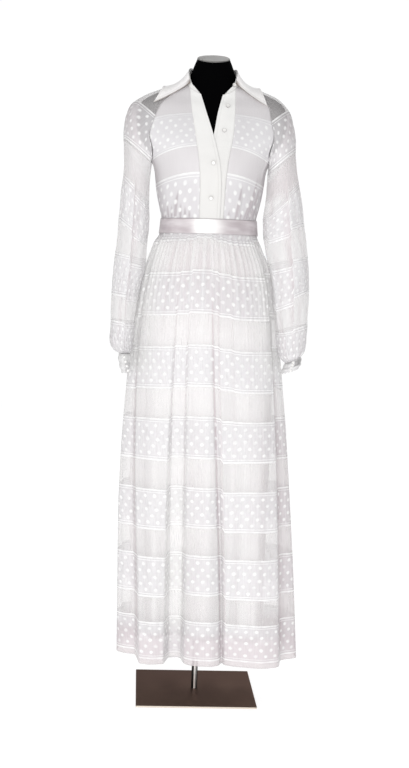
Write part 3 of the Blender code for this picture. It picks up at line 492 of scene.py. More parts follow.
poleRadius = (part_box("pole")[1][0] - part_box("pole")[0][0]) / 2
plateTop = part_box("base_plate")[1][2]
materials = {
    "sleeve": organza("organzaSleeve", thinLook, (0.42, 0.60, 0.92)),
    "skirt": organza("organzaSkirt", thinLook, (0.44, 0.69, 0.95)),
    "bodice": organza("organzaLined", linedLook),
    "lining": plainCloth("liningCloth", (0.94, 0.925, 0.93), (0.96, 0.955, 0.95), thinLook["shadow"], hemLine=True),
    "facing": plainCloth("doubledCloth", (0.785, 0.78, 0.768), (0.82, 0.815, 0.80), (0.34, 0.32, 0.31)),
    # the collar's brown shadow colour and the cuff's nearly black one are for painted shade
    "collar": plainCloth("collarCloth", (0.97, 0.95, 0.955), (0.99, 0.975, 0.965), (0.20, 0.155, 0.13), deep=0.95),
    "cuff": plainCloth("cuffCloth", (0.66, 0.65, 0.655), (0.76, 0.76, 0.75), (0.12, 0.115, 0.115)),
    "satin": ribbonSatinPaintedHighlight("ribbonSatinPaintedHighlight"),
    "form": formFinish("formCover"),
    "cap": capFinish("neckCapMetal"),
    "steel": poleWithPaintedReflection("poleSteelPaintedReflection"),
    "bronze": plateWithPaintedSheen("plateBronzePaintedSheen"),
    "button": pearlWithPaintedRimShade("buttonPearl"),
}
print("materials made:", len(materials))

for node, finish in (("dress_form", "form"), ("neck_cap", "cap"), ("pole", "steel"), ("base_plate", "bronze")):
    bpy.data.objects[node].data.materials.clear()
    bpy.data.objects[node].data.materials.append(materials[finish])


# bodice

bodice = {
    "sideSteps": 34, "raglanSteps": 62, "frontColumns": 92, "backColumns": 170, "bandColumns": 26,
    "bandWall": 0.0006, "underSleeve": 0.0015, "overFront": 0.0010,
    "tuckHalfAngle": 2.1, "tuckTop": 0.0017, "tuckStart": 1.203, "tuckRise": 0.006,
    # tucks at the waist: where they start, how far they lean outwards, how high they run, how proud they are
    "rightTucks": table("angle lean height depth",
                        "21 0 .03 .001, 26 -1 .045 .0016, 32 -2 .052 .002, 39 -4 .06 .0024, 48.5 -12 .09 .0038, "
                        "54 -5 .055 .0024, 60 -4 .06 .0022, 67 -2 .05 .002, 75 0 .04 .0016"),
    "leftTucks": table("angle lean height depth",
                       "20 0 .03 .0012, 25 1 .045 .0018, 35 3 .11 .0034, 41 3 .05 .0018, 46 10 .08 .003, "
                       "51 10 .13 .0042, 57 11 .105 .0038, 64 6 .06 .0022, 71 4 .05 .0018, 77 2 .04 .0014"),
    "backTucks": table("angle lean height depth",
                       "112 -2 .04 .0016, 118 -3 .05 .0022, 125 -3 .06 .0024, 131 -3 .07 .0028, 138 -2 .06 .0024, "
                       "145 -2 .055 .0022, 152 -1 .04 .0016"),
    # where the cloth's stripes cross the middle, and how far they drop towards the sides
    "bandLines": table("cloth height",
                       "-.075 1.53, 0 1.457, .106 1.3757, .181 1.3148, .287 1.186, .33 1.143"),
    "bandDrop": 0.027, "bandDropAt": 0.134, "bandDropPower": 2.5, "mostDrop": 0.05, "lessDrop": (0.65, 1.38, 1.457),
    # the cloth is a little loose above the tucks, and flat where the band and the sleeve are sewn over it:
    # its waves, their depth, an even painted shade, and the part of the width that is loose
    "frontLoose": ((6, 9, 14), 0.0007, 0.10, (0.0, 0.05, 0.97, 1.0)),
    "backLoose": ((5, 8, 13), 0.0006, 0.12, (0.0, 0.02, 0.98, 1.0)),
    # where the loose part starts; painted shade in the waves' troughs, less on their crests, towards the sides and low
    # on the bodice
    "looseFrom": (1.215, 1.25), "waveShade": 0.10, "sideShade": (0.22, 55, 88), "lowShade": (0.14, 1.33, 1.27),
    # one long soft fold down beside the left armhole, with a painted shadow beside it
    "fold": {"angle": 70, "lean": 10, "leanAt": 1.40, "reach": (1.285, 1.34, 1.43, 1.475),
             "ridge": (0.0024, 0.0, 2.6), "shadow": (0.8, 3.4, 1.5)},
    # across a band: the doubled edge is a little thicker, and the seam beside it sinks in; painted shade lies beside
    # the edge, along the seam and on the lower band
    "bandRidges": ((0.0003, 0.04, 0.04), (0.0002, 0.12, 0.03)), "bandOuter": (0.0007, 0.80, 0.95),
    "bandSeams": ((0.22, 0.16, 0.015), (0.05, 0.97, 0.025)), "bandLow": (0.38, 1.44, 1.33),
}
turnedRight = {-1: "columns", 1: ""}          # the right side's grids run the other way


def raglanLine(side, back, share):
    # angles and heights from the underarm (share 0) up the raglan seam to the neck (share 1)
    endAngle = body["backNeckAngle" if back else "frontNeckAngle"]
    seam = body["raglan"]
    front = angleAt(seam[sideName[side]], seam["height"], ease(seam["height"]))
    angles = np.concatenate([[90.0], 180.0 - front if back else front, [endAngle]])
    heights = np.concatenate([[body["underarm"]], seam["height"], [neckHeight(endAngle)]])
    along = arcAlong(torso(angles, heights, 0.0), 0)
    wanted = share * along[-1]
    return curveThrough(wanted, along, angles), curveThrough(wanted, along, heights)


def bodyEdge(side, back):
    # up the side seam, then up the raglan seam
    angles, heights = raglanLine(side, back, np.linspace(0, 1, bodice["raglanSteps"] + 1))
    low = np.linspace(body["waist"], body["underarm"], bodice["sideSteps"] + 1)[:-1]
    return np.concatenate([np.full(len(low), 90.0), angles]), np.concatenate([low, heights])


def bandHeights():
    heights = bodyEdge(-1, False)[1]
    share = (heights - body["waist"]) / (heights[-1] - body["waist"])
    return body["waist"] + share * (body["bands"]["height"][-1] - body["waist"])


def bandSeam(side):
    heights = bandHeights()
    x = read(body["bands"], sideName[side] + "Seam", heights)
    heights = heights + read(body["bands"], "rise", heights)
    return angleAt(x, heights, ease(heights)), heights


def between(inner, outer, columns):
    # straight shares between two edges; the top row is bent onto the neckline
    share = np.linspace(0.0, 1.0, columns + 1)
    angles, heights = (near[:, None] * (1 - share) + far[:, None] * share for near, far in zip(inner, outer))
    offMiddle = 180.0 - np.abs(180.0 - np.abs(angles[-1]))
    upward = (outer[1] - body["waist"]) / (outer[1][-1] - body["waist"])
    return angles, heights + upward[:, None] ** 3 * (neckHeight(offMiddle) - heights[-1])


def widenEdge(angles, column, reach):
    # lets an edge run on under the piece sewn over it
    angles = angles.copy()
    outwards = np.sign(angles[:, column] - angles[:, angles.shape[1] // 2])
    angles[:, column] += outwards * np.degrees(reach / body["seamRadius"])
    return angles


def tuckLift(angles, heights, tucks):
    # ridges that start at the waist seam, lean and die away upwards; and the painted shadow beside each
    lift, shadow = np.zeros_like(angles), np.zeros_like(angles)
    for angle, lean, height, depth in zip(*tucks.values()):
        share = np.clip((heights - body["waist"]) / height, 0.0, 1.0)
        beside = (np.abs(angles) - angle - lean * share) / bodice["tuckHalfAngle"]
        ridge = np.exp(-np.abs(beside) ** 1.6) * np.where(beside > 0, np.exp(-beside * 0.6), 1.0)
        along = np.sin(np.pi * (0.12 + 0.88 * share)) * (1 - share) ** 0.6
        lift += depth * ridge * along
        shadow += depth / bodice["tuckTop"] * bell(beside + 0.9, 0.60) * np.minimum(along * 1.8, 1)
    start = np.clip((heights - bodice["tuckStart"]) / bodice["tuckRise"], 0.0, 1.0)
    return lift * start, shadow * start


def loosen(angles, heights, lift, shade, seed, waves, depth, dull, loose):
    # waves of loose cloth with painted shade in their troughs, and an even painted shade over the panel
    wave = ripple(np.radians(angles), heights * 20, waves, seed)
    lift = lift + depth * (1 + wave) * smoothStep(heights, *bodice["looseFrom"])
    return (lift * window(np.linspace(0, 1, angles.shape[1]), *loose),
            shade + dull - bodice["waveShade"] * wave)


def panel(name, angles, heights, out, shade, turned=""):
    points = torso(angles, heights, ease(heights) + out)
    drop = bodice["bandDrop"] * (np.abs(points[..., 0]) / bodice["bandDropAt"]) ** bodice["bandDropPower"]
    drop = drop * (1 - ramp(points[..., 2], *bodice["lessDrop"]))
    down = clothDown(points[..., 2] + np.minimum(drop, bodice["mostDrop"]), bodice["bandLines"])
    piece = addCloth(name, points, "bodice", "organza", body["wall"], shade,
                     np.stack([arcAlong(points, 1), down], axis=-1), turned=turned)


def makeFront(side):
    angles, heights = bodyEdge(side, False)
    angles, heights = between(bandSeam(side), (side * angles, heights), bodice["frontColumns"])
    angles = widenEdge(angles, -1, bodice["underSleeve"])
    angles[: bodice["sideSteps"], -1] = side * 90.0
    lift, shade = tuckLift(angles, heights, bodice[sideName[side] + "Tucks"])
    away = np.abs(angles)
    if side > 0:
        fold = bodice["fold"]
        place = away - fold["angle"] - fold["lean"] * (heights - fold["leanAt"])
        high = window(heights, *fold["reach"])
        lift += ridges(place, [fold["ridge"]]) * high
        # painted shadow beside the fold
        shade += ridges(place, [fold["shadow"]]) * high
    lift, shade = loosen(angles, heights, lift, shade, 11 + side, *bodice["frontLoose"])
    # painted shade towards the side seams and low on the bodice
    shade += ramp(away, *bodice["sideShade"]) + ramp(heights, *bodice["lowShade"])
    panel("bodice_front_" + sideName[side], angles, heights, lift, shade, turnedRight[side])


def makeBack():
    rightAngles, rightHeights = bodyEdge(-1, True)
    angles, heights = between(bodyEdge(1, True), (360.0 - rightAngles, rightHeights), bodice["backColumns"])
    angles = widenEdge(widenEdge(angles, -1, bodice["underSleeve"]), 0, bodice["underSleeve"])
    angles[: bodice["sideSteps"], 0], angles[: bodice["sideSteps"], -1] = 90.0, 270.0
    behind = 180.0 - np.abs(angles - 180.0)
    lift, shade = tuckLift(behind, heights, bodice["backTucks"])
    lift, shade = loosen(angles, heights, lift, shade, 5, *bodice["backLoose"])
    panel("bodice_back", angles, heights, lift, shade)


def makeBand(side):
    heights = bandHeights()
    edge = read(body["bands"], sideName[side] + "Edge", heights)
    angles, low = between((angleAt(edge, heights, ease(heights)), heights), bandSeam(side), bodice["bandColumns"])
    angles = widenEdge(angles, -1, bodice["overFront"])
    across = np.linspace(0, 1, angles.shape[1])
    lift = ridges(across, bodice["bandRidges"]) + (body["bandOver"] if side < 0 else ramp(across, *bodice["bandOuter"]))
    # the lower part is darkened with painted shade
    shade = ridges(across, bodice["bandSeams"]) + ramp(low, *bodice["bandLow"])
    points = torso(angles, low, ease(low) + lift)
    piece = addCloth("placket_" + sideName[side], points, "facing", "placket", bodice["bandWall"], shade,
                     turned=turnedRight[side])


for wearerSide in (-1, 1):
    makeFront(wearerSide)
    makeBand(wearerSide)
makeBack()
print("bodice made")


# skirt and its lining

skirt = {
    "columns": 280, "rows": 165, "liningColumns": 240, "liningRows": 110, "hem": 0.108, "liningHem": 0.160,
    "wall": 0.0006, "seam": 0.0005, "seamEdge": (0.0, 0.01, 0.99, 1.0), "backDrop": 0.017,
    # gathers: how many, how far off their even places, how they lean, their heights, lengths and widths
    "gathers": 30, "gatherShift": 0.25, "gatherLean": 0.006, "gatherSize": (0.35, 1.0), "gatherShort": (0.16, 0.75),
    "gatherLong": (0.5, 1.05), "gatherTop": 1.16, "gatherWidth": (0.24, 0.30), "gatherEdge": (0.0, 0.02, 0.98, 1.0),
    "gatherLift": 1.25, "scallop": 0.0022, "scallopMiddle": 0.4, "scallopFrom": (1.10, 1.15),
    "waves": (17, 26, 41, 58), "waveDepth": 0.0009, "waveShade": 0.18, "wavesBelow": (1.13, 1.0),
    # painted shade between the gathers, beside the creases, on the panels and at the thin hem; painted light at the
    # hips
    "gatherShade": 0.80, "gatherFull": 0.58, "waist": (0.86, 1.12), "underBelt": (0.40, 1.115, 1.150),
    "creaseReach": (0.10, 0.16, 0.93, 1.11), "creaseLine": (0.7, 0.0, 0.55), "creaseSide": 0.65,
    "panelsBelow": (0.82, 0.62), "brightReach": (0.14, 0.22, 0.34, 0.78), "hips": (0.79, 0.86, 1.135, 1.165),
    "hipTurn": (36.0, 64.0), "hipLight": 0.6, "hemShade": 0.62, "hemBelow": (0.200, 0.165),
    "recess": (-27.0, -24.0, -13.0, -11.0), "recessLight": 0.5,
    "stripeMiddle": (0.62, 0.80), "stripeHem": (0.11, 0.30),
    "sections": table(
        "height right left front back folds gather inset",
        "1.183 .1186 .1186 .0869 .0851 0 0 .0014, 1.161 .123 .1222 .0885 .0875 0 .0006 .0016, "
        "1.148 .131 .127 .095 .0935 .01 .0034 .0026, 1.128 .1385 .135 .1025 .101 .02 .0048 .0036, "
        "1.098 .149 .1495 .11 .111 .04 .0046 .005, 1.048 .162 .164 .119 .124 .05 .0036 .006, "
        ".965 .1765 .1775 .129 .138 .1 .0024 .007, .855 .189 .1915 .137 .147 .21 .0014 .008, "
        ".71 .1995 .208 .144 .156 .41 .0009 .009, .52 .2055 .2255 .1495 .167 .65 .0006 .01, "
        ".32 .203 .241 .1545 .177 .86 .0004 .01, .108 .199 .2545 .16 .186 1 .0003 .01"),
    # the folds at the hem, seen from above, by turn: 0 degrees is the front, 90 the left side, 180 the back
    "hemFolds": table(
        "turn x y",
        "-90 -.19 .02, -78 -.199 -.035, -71 -.178 -.06, -66.5 -.152 -.068, -63.5 -.136 -.146, -44 -.11 -.153, "
        "-25.5 -.08 -.146, -22.5 -.066 -.088, -18 -.048 -.083, -14 -.036 -.09, -11.5 -.024 -.14, -6 .005 -.156, "
        "-1 .035 -.158, 2.5 .056 -.146, 6 .066 -.12, 9.5 .076 -.14, 25 .112 -.152, 45 .16 -.16, 57 .196 -.148, "
        "60.5 .205 -.14, 63 .213 -.085, 78 .2545 -.05, 90 .236 .02, 112 .226 .085, 130 .172 .088, 142 .145 .165, "
        "156 .096 .11, 167 .05 .186, 180 0 .118, 194 -.052 .182, 206 -.092 .108, 222 -.136 .158, 236 -.158 .085, "
        "252 -.192 .078"),
    "liningFolds": table(
        "turn x y",
        "-90 -.168 .015, -78 -.172 -.03, -55 -.14 -.05, -40 -.108 -.122, -26 -.074 -.074, -16 -.046 -.07, "
        "-5 -.014 -.112, 7 .02 -.138, 16 .046 -.116, 28 .079 -.066, 41 .111 -.122, 60 .148 -.134, 75 .172 -.076, "
        "83 .174 -.035, 90 .171 .018, 108 .168 .075, 122 .152 .074, 136 .128 .135, 150 .092 .088, 165 .048 .158, "
        "180 0 .096, 195 -.048 .154, 208 -.09 .086, 222 -.12 .13, 238 -.14 .072, 254 -.166 .066"),
    # height at which the cloth's stripes cross the middle of the front
    "bandLines": table(
        "cloth height",
        "-.108 1.19, -.075 1.1556, 0 1.0793, .106 .973, .181 .898, .287 .7955, .362 .7231, .468 .6195, .543 .5492, "
        ".649 .4493, .724 .3822, .83 .2826, .905 .218, 1.011 .1215, 1.024 .108"),
    # how far the stripes hang below that line, fold by fold, on the upper and on the lower skirt
    "bandDrops": table(
        "turn upper lower",
        "-90 .018 .013, -65.5 .0165 .012, -64.5 .0115 .009, -45 .01 .0085, -24.4 .0075 .0095, -23.6 .005 .003, "
        "-13.2 .004 .002, -12.4 0 0, 4 0 0, 4.8 .0022 .0015, 9.2 .0035 .0025, 10 .0075 .011, 20 .01 .01, "
        "22 .013 .0095, 30 .0155 .009, 61.2 .0165 .009, 62.2 .004 .0045, 90 .006 .0055"),
    # how much painted shade darkens and painted light brightens the front's panels below the hips
    "panelTones": table(
        "turn dull bright",
        "-90 .06 0, -66 .06 0, -64 0 0, -26 0 0, -24.5 0 1, -14 0 .9, -12 0 0, -11 .13 0, -4 .13 0, 1 0 0, 30 0 0, "
        "44 .1 0, 61 .2 0, 64 .36 0, 90 .3 0"),
    # the front's creases: turn, the side that lies lower, and how dark and how wide their painted shadow is
    "creases": table(
        "turn side dark wide",
        "-65 -1 .72 2, -24 1 .26 1.1, -12.8 -1 .31 1, 4.2 1 1 1.3, 9.4 -1 .6 .9, 21 -1 .3 1.2, 61.8 1 1 3.8, "
        "-50 -1 .14 2.5, -36 1 .12 2.5, 35 1 .12 3, 48 -1 .12 2.5"),
}


def hemLine(turn, folds):
    # the folded hem's place at each turn, on a curve that closes on itself
    stations = np.concatenate([folds["turn"][-2:] - 360, folds["turn"], folds["turn"][:2] + 360])
    return np.stack([curveThrough(turn, stations, np.concatenate([row[-2:], row, row[:2]]), crisp=True)
                     for row in (folds["x"], folds["y"])], axis=-1)


def foldTurns(first, last, columns, folds):
    # columns spaced half by turn and half by the hem's length, so that each fold's flank has enough of them
    fine = np.linspace(first, last, 1441)
    along = arcAlong(hemLine(fine, folds), 0)
    share = along / along[-1] / 2 + (fine - first) / (last - first) / 2
    return np.interp(np.linspace(0, 1, columns + 1), share, fine)


def skirtSize(name, heights):
    return read({key: value[::-1] for key, value in skirt["sections"].items()}, name, heights)[:, None]


def skirtGrid(heights, turn, folds, insetShare):
    # at each height an oval, mixed with the hem's own folded line by that height's share
    size = {name: skirtSize(name, heights) for name in ("right", "left", "front", "back", "folds", "inset")}
    inset = size["inset"] * insetShare
    hem = hemLine(turn, folds)
    grid = []
    for axis, oval, low, high in ((0, np.sin(np.radians(turn)), "right", "left"),
                                   (1, -np.cos(np.radians(turn)), "front", "back")):
        last = [skirt["sections"][name][-1] for name in (low, high)]
        folded = hem[:, axis] / np.where(hem[:, axis] < 0, *last)
        mixed = oval * (1 - size["folds"]) + folded * size["folds"]
        grid.append(np.where(mixed < 0, size[low] - inset, size[high] - inset) * mixed)
    return np.stack([*grid, heights[:, None] + 0 * grid[0]], axis=-1)


def gatherWaves(share, heights, back):
    # narrow ridges at the waist that widen, merge and fade on the way down: their lift, from 0 to about 1
    random = np.random.default_rng(31 if back else 29)
    count, (thin, wide) = skirt["gathers"], skirt["gatherWidth"]
    gathers = np.zeros((len(heights), len(share)))
    for index in range(1, count - 1):
        centre = (index + 0.5 + random.uniform(-skirt["gatherShift"], skirt["gatherShift"])) / count
        lean = random.uniform(-skirt["gatherLean"], skirt["gatherLean"])
        size = random.uniform(*skirt["gatherSize"])
        end = random.uniform(*skirt["gatherShort" if index % 3 else "gatherLong"])
        low = np.clip((skirt["gatherTop"] - heights) / end, 0, 1)[:, None]
        gathers += size * (1 - low) ** 1.2 * bell(share - centre - lean * low, (thin + wide * low) / count)
    return gathers * window(share, *skirt["gatherEdge"])


def skirtStripes(turn, level, back):
    # how far the stripes hang below their line at each point
    if back:
        return skirt["backDrop"] * np.sin(np.radians(turn)) ** 2 + 0 * level
    drops = skirt["bandDrops"]
    upper, lower = (np.interp(turn, drops["turn"], drops[name]) for name in ("upper", "lower"))
    high = smoothStep(level, *skirt["stripeMiddle"])
    return (upper * high + lower * (1 - high)) * smoothStep(level, *skirt["stripeHem"])


def makeSkirt(back):
    heights = np.linspace(skirt["hem"], skirt["sections"]["height"][0], skirt["rows"] + 1)
    level = heights[:, None]
    first = 90.0 if back else -90.0
    turn = foldTurns(first, first + 180.0, skirt["columns"], skirt["hemFolds"])
    share = (turn - first) / 180.0
    points = skirtGrid(heights, turn, skirt["hemFolds"], 0.0)
    normal = gridNormals(points) * (1, 1, 0)
    gathers = gatherWaves(share, heights, back)
    fine = ripple(share[None] * tau, level * 4, skirt["waves"], 3 + back, 0.8)
    below = smoothStep(level, *skirt["wavesBelow"])
    lift = gathers * skirtSize("gather", heights) * skirt["gatherLift"] + skirt["waveDepth"] * (1 + fine) * below
    # valleys between the gathers and beside the creases get painted shade
    waist = smoothStep(level, *skirt["waist"]) * (1 - ramp(level, *skirt["underBelt"]))
    shade = skirt["gatherShade"] * np.clip(skirt["gatherFull"] - gathers, 0, 1) * waist
    shade += skirt["waveShade"] * np.clip(-fine, 0, 1) * below
    glow = 0 * gathers
    if not back:
        grow = window(level, *skirt["creaseReach"])
        for at, side, dark, wide in zip(*skirt["creases"].values()):
            away = (turn - at) * side
            beside = np.where(away > 0, skirt["creaseSide"] * np.exp(-np.maximum(away, 0) / wide), 0.0)
            shade = shade + dark * (ridges(away, [skirt["creaseLine"]]) + beside) * grow
        # painted shade makes the panels differ in tone, the left side duller, and painted light brightens the recess
        # right of the middle
        tones = skirt["panelTones"]
        dull, bright = (np.interp(turn, tones["turn"], tones[name]) for name in ("dull", "bright"))
        shade = shade + dull * smoothStep(level, *skirt["panelsBelow"])
        # beside the sleeves the hips get painted light and less painted shade
        sides = smoothStep(np.abs(turn), *skirt["hipTurn"]) * window(level, *skirt["hips"])
        glow = np.maximum(bright * window(level, *skirt["brightReach"]), sides)
        shade = shade * (1 - skirt["hipLight"] * sides)
    # below the lining only the thin cloth is left; painted shade darkens it, less in the recess
    thin = 1 - skirt["recessLight"] * window(turn, *skirt["recess"])
    shade = np.maximum(shade, skirt["hemShade"] * thin * smoothStep(level, *skirt["hemBelow"]))
    points = points + normal * (lift * window(share, *skirt["seamEdge"]))[..., None]
    points[:, [0, -1], 1] += skirt["seam"] / 2 * (1 if back else -1)
    # close under the belt the gathers draw the stripe into scallops
    scallop = skirt["scallop"] * (gathers - skirt["scallopMiddle"]) * smoothStep(level, *skirt["scallopFrom"])
    down = clothDown(points[..., 2] + skirtStripes(turn, level, back) - scallop, skirt["bandLines"])
    across = arcAlong(points, 1)
    across = across - across[:, [skirt["columns"] // 2]]
    piece = addCloth("skirt_back" if back else "skirt_front", points, "skirt", "organza", skirt["wall"], shade,
                     np.stack([across, down], axis=-1), glow=glow)


def makeLining():
    heights = np.linspace(skirt["liningHem"], skirt["sections"]["height"][0], skirt["liningRows"] + 1)
    turn = foldTurns(-90.0, 270.0, skirt["liningColumns"], skirt["liningFolds"])[:-1]
    points = skirtGrid(heights, turn, skirt["liningFolds"], 1.0)
    piece = addCloth("skirt_lining", points, "lining", "lining", skirt["wall"], 0.0, closed=True)


makeSkirt(False)
makeSkirt(True)
makeLining()
print("skirt made")


# sleeves and cuffs

ringNames = "topX topZ underX underZ centreY halfDepth"
stripeNames = "cloth outerX outerZ innerX innerZ"
sleeve = {
    "around": 128, "along": 205, "shoulderSteps": 4, "wall": 0.0005, "cuffAround": 150, "cuffRows": 26,
    "cuffWall": 0.0009, "seamTurn": 0.9, "overSeam": 0.0012, "overBodice": 0.0022, "offSkirt": 0.0025,
    "overCuff": 0.0012, "seamOut": 0.0030, "crestSink": 0.0012,
    "right": table(
        ringNames,
        ".1996 1.4833 .1475 1.324 0 .07, .2125 1.455 .149 1.312 0 .069, .218 1.415 .15 1.297 0 .068, "
        ".216 1.37 .1505 1.278 -.002 .066, .2142 1.325 .151 1.258 -.004 .064, .2185 1.27 .1505 1.232 -.007 .063, "
        ".2225 1.206 .149 1.196 -.012 .063, .2255 1.15 .1525 1.15 -.018 .064, .2328 1.068 .1565 1.068 -.032 .065, "
        ".2338 1.035 .165 1.035 -.038 .066, .234 .975 .1735 .975 -.05 .064, .2328 .925 .1765 .925 -.061 .06, "
        ".2318 .893 .179 .893 -.071 .054, .224 .879 .18 .879 -.08 .047"),
    "left": table(
        ringNames,
        ".19 1.478 .144 1.324 0 .069, .2032 1.4417 .1432 1.312 0 .068, .2099 1.41 .1428 1.299 0 .067, "
        ".2113 1.37 .1425 1.284 -.002 .066, .2155 1.33 .1425 1.268 -.004 .065, .2255 1.272 .1405 1.245 -.007 .064, "
        ".235 1.206 .137 1.206 -.012 .064, .2435 1.15 .141 1.15 -.018 .064, .2512 1.062 .1595 1.062 -.031 .064, "
        ".2525 1.035 .164 1.035 -.036 .063, .2515 .975 .17 .975 -.046 .061, .25 .925 .178 .925 -.056 .058, "
        ".248 .896 .184 .886 -.064 .055, .244 .884 .189 .869 -.072 .048"),
    "cuffRight": table(
        ringNames,
        ".2095 .869 .1825 .869 -.092 .041, .2088 .85 .1838 .85 -.094 .036, .205 .834 .1848 .834 -.095 .034, "
        ".201 .8225 .186 .8225 -.096 .032"),
    "cuffLeft": table(
        ringNames,
        ".237 .873 .2 .855 -.078 .036, .2382 .862 .1955 .844 -.08 .037, .236 .852 .1915 .836 -.081 .036, "
        ".23 .844 .19 .829 -.081 .033"),
    "crest": table(
        "x right left",
        ".065 1.542 1.542, .1 1.5303 1.5303, .13 1.5208 1.52, .148 1.5143 1.5137, .163 1.5075 1.505, "
        ".1756 1.5005 1.4955, .19 1.4903 1.478, .1996 1.4833 1.47"),
    # stripes: cloth place, then two points of the line, outer and inner, off the middle
    "rightStripes": table(
        stripeNames,
        "-.08 .152 1.57 .1 1.52, 0 .1802 1.4863 .1388 1.4518, .106 .2078 1.3909 .146 1.3398, "
        ".181 .212 1.3066 .1534 1.2473, .287 .2139 1.1879 .1586 1.1475, .362 .2263 1.1147 .1774 1.1045, "
        ".468 .2315 1.011 .1759 1.0036, .543 .2317 .9498 .176 .944, .649 .2317 .848 .176 .843"),
    "leftStripes": table(
        stripeNames,
        "-.08 .152 1.555 .1 1.512, 0 .1857 1.4758 .1485 1.4466, .106 .2079 1.3752 .149 1.323, "
        ".181 .218 1.2964 .1539 1.2263, .287 .227 1.1921 .1829 1.1746, .362 .2439 1.1177 .1832 1.1042, "
        ".468 .2471 1.0307 .1869 1.0029, .543 .2432 .9502 .208 .9397, .649 .2432 .848 .208 .84"),
    "round": 0.396,                          # width of the cloth round the arm
    # a main crease down the front, whose cloth hangs lower on its inner side
    "rightCrease": 84.0, "leftCrease": 98.0, "creaseSway": 6.0, "creaseDepth": 0.0045, "creaseSides": (26.0, 2.2),
    "creaseReach": (0.25, 0.36, 0.78, 0.92), "lowerSide": (-80.0, -60.0, -1.0, 1.0), "stripeBreak": 0.018,
    # ripples, crumples and gathers: depth, rows, waves, seed and drift
    "fine": (0.0026, 9, (5, 7, 10), 40, 1.4), "crumple": (0.0010, 34, (9, 13, 19), 50, 1.8),
    "gathers": (0.0030, 6, (22, 29, 35), 60, 0.6), "lower": (0.22, 0.42), "fineMiddle": 0.3,
    "fineEnd": (0.5, 0.9, 1.0), "gathersFrom": (0.84, 0.955), "gathersEnd": (0.75, 0.985, 1.0), "offHip": 0.0020,
    # amounts of painted shade, and the parts of the sleeve's length that they lie on
    "creaseShade": 0.75, "creaseShadeWidth": 8.0, "fineShade": 0.55, "crumpleShade": 0.25,
    "gatherShade": (0.6, 0.82, 0.94), "topShade": 0.12, "outerShade": (0.30, 0.160, 0.190), "topEnd": (0.22, 0.16),
    "rightArmShade": 0.24, "leftArmShade": 0.42, "armReach": (0.18, 0.24, 0.30, 0.36),
}
cuff = {
    "waves": (9, 13, 18), "waveDepth": 0.0012, "puckers": 2.5, "puckerDepth": 0.0007, "scallops": 16,
    "scallopDepth": 0.0016, "offSkirt": 0.0012, "waveShade": 0.22, "puckerShade": 0.10, "topShade": (0.25, 1.0, 0.06),
    # painted shade: on the left band's front upper side, in the shadow of the full sleeve, and on the right band's
    # outer side
    "leftShade": 0.75, "leftTurn": (92, 104, 140, 158), "leftReach": (0.42, 0.55, 0.86, 0.98),
    "leftSpot": ((0.5, 60, 22), (1.0, 0.92, 0.08)), "rightShade": 0.55, "rightTurn": (146, 166, 190, 210),
}


def ovalRing(rows, index, side, turn):
    # from the under point up the front to the top point and down the back
    topX, topZ, underX, underZ, centreY, halfDepth = (rows[name][index] for name in ringNames.split())
    across = (1 - np.cos(turn)) / 2
    return np.stack([side * (underX + (topX - underX) * across), centreY - halfDepth * np.sin(turn),
                     underZ + (topZ - underZ) * across], axis=-1)


def seamRing(side, turn):
    # raglan seam as a closed ring: underarm, front seam, neck, back seam
    degrees = np.degrees(turn)
    reach = 180.0 * sleeve["seamTurn"]
    front = raglanLine(side, False, np.clip(degrees / reach, 0, 1))
    behind = raglanLine(side, True, np.clip((360.0 - degrees) / reach, 0, 1))
    neck = np.interp(degrees, (reach, 180.0, 360.0 - reach), (body["frontNeckAngle"], 90.0, body["backNeckAngle"]))
    angles, heights = (np.where(degrees < reach, low, np.where(degrees > 360.0 - reach, high, middle))
                       for low, high, middle in zip(front, behind, (neck, neckHeight(neck))))
    return torso(side * angles, heights, ease(heights) + sleeve["overSeam"])


def skirtSides():
    # how far out the skirt reaches on each side, over height and depth
    heights, depths = np.linspace(0.80, 1.18, 39), np.linspace(-0.15, 0.09, 25)
    reach = {side: np.zeros((len(heights), len(depths))) for side in sideName}
    for first in (-90.0, 90.0):
        grid = skirtGrid(heights, np.linspace(first, first + 180.0, 361), skirt["hemFolds"], 0.0)
        for side in sideName:
            for index, depth in enumerate(depths):
                near = np.where(np.abs(grid[..., 1] - depth) < 0.010, side * grid[..., 0], 0.0)
                reach[side][:, index] = np.maximum(reach[side][:, index], near.max(axis=1))
    return heights, depths, reach


sideHeights, sideDepths, sideReach = skirtSides()


def besideSkirt(points, side, gap):
    row, column = (np.clip((points[..., axis] - places[0]) / (places[1] - places[0]), 0, len(places) - 1.001)
                   for axis, places in ((2, sideHeights), (1, sideDepths)))
    low, left = row.astype(int), column.astype(int)
    up, over = row - low, column - left
    reach = sideReach[side]
    limit = ((reach[low, left] * (1 - over) + reach[low, left + 1] * over) * (1 - up)
             + (reach[low + 1, left] * (1 - over) + reach[low + 1, left + 1] * over) * up)
    limit = np.where(points[..., 2] < body["waist"], limit + gap, 0.0)
    points[..., 0] = side * np.maximum(side * points[..., 0], limit)
    return points


def outsideBodice(points, gap):
    gap = ease(points[..., 2]) + body["wall"] + gap
    width, front, back = (read(formSection, name, points[..., 2]) + gap for name in ("halfWidth", "front", "back"))
    reach = np.hypot(points[..., 0] / width, points[..., 1] / np.where(points[..., 1] < 0, front, back))
    points[..., :2] *= np.where(reach < 1.0, 1.0 / np.maximum(reach, 0.2), 1.0)[..., None]
    return points


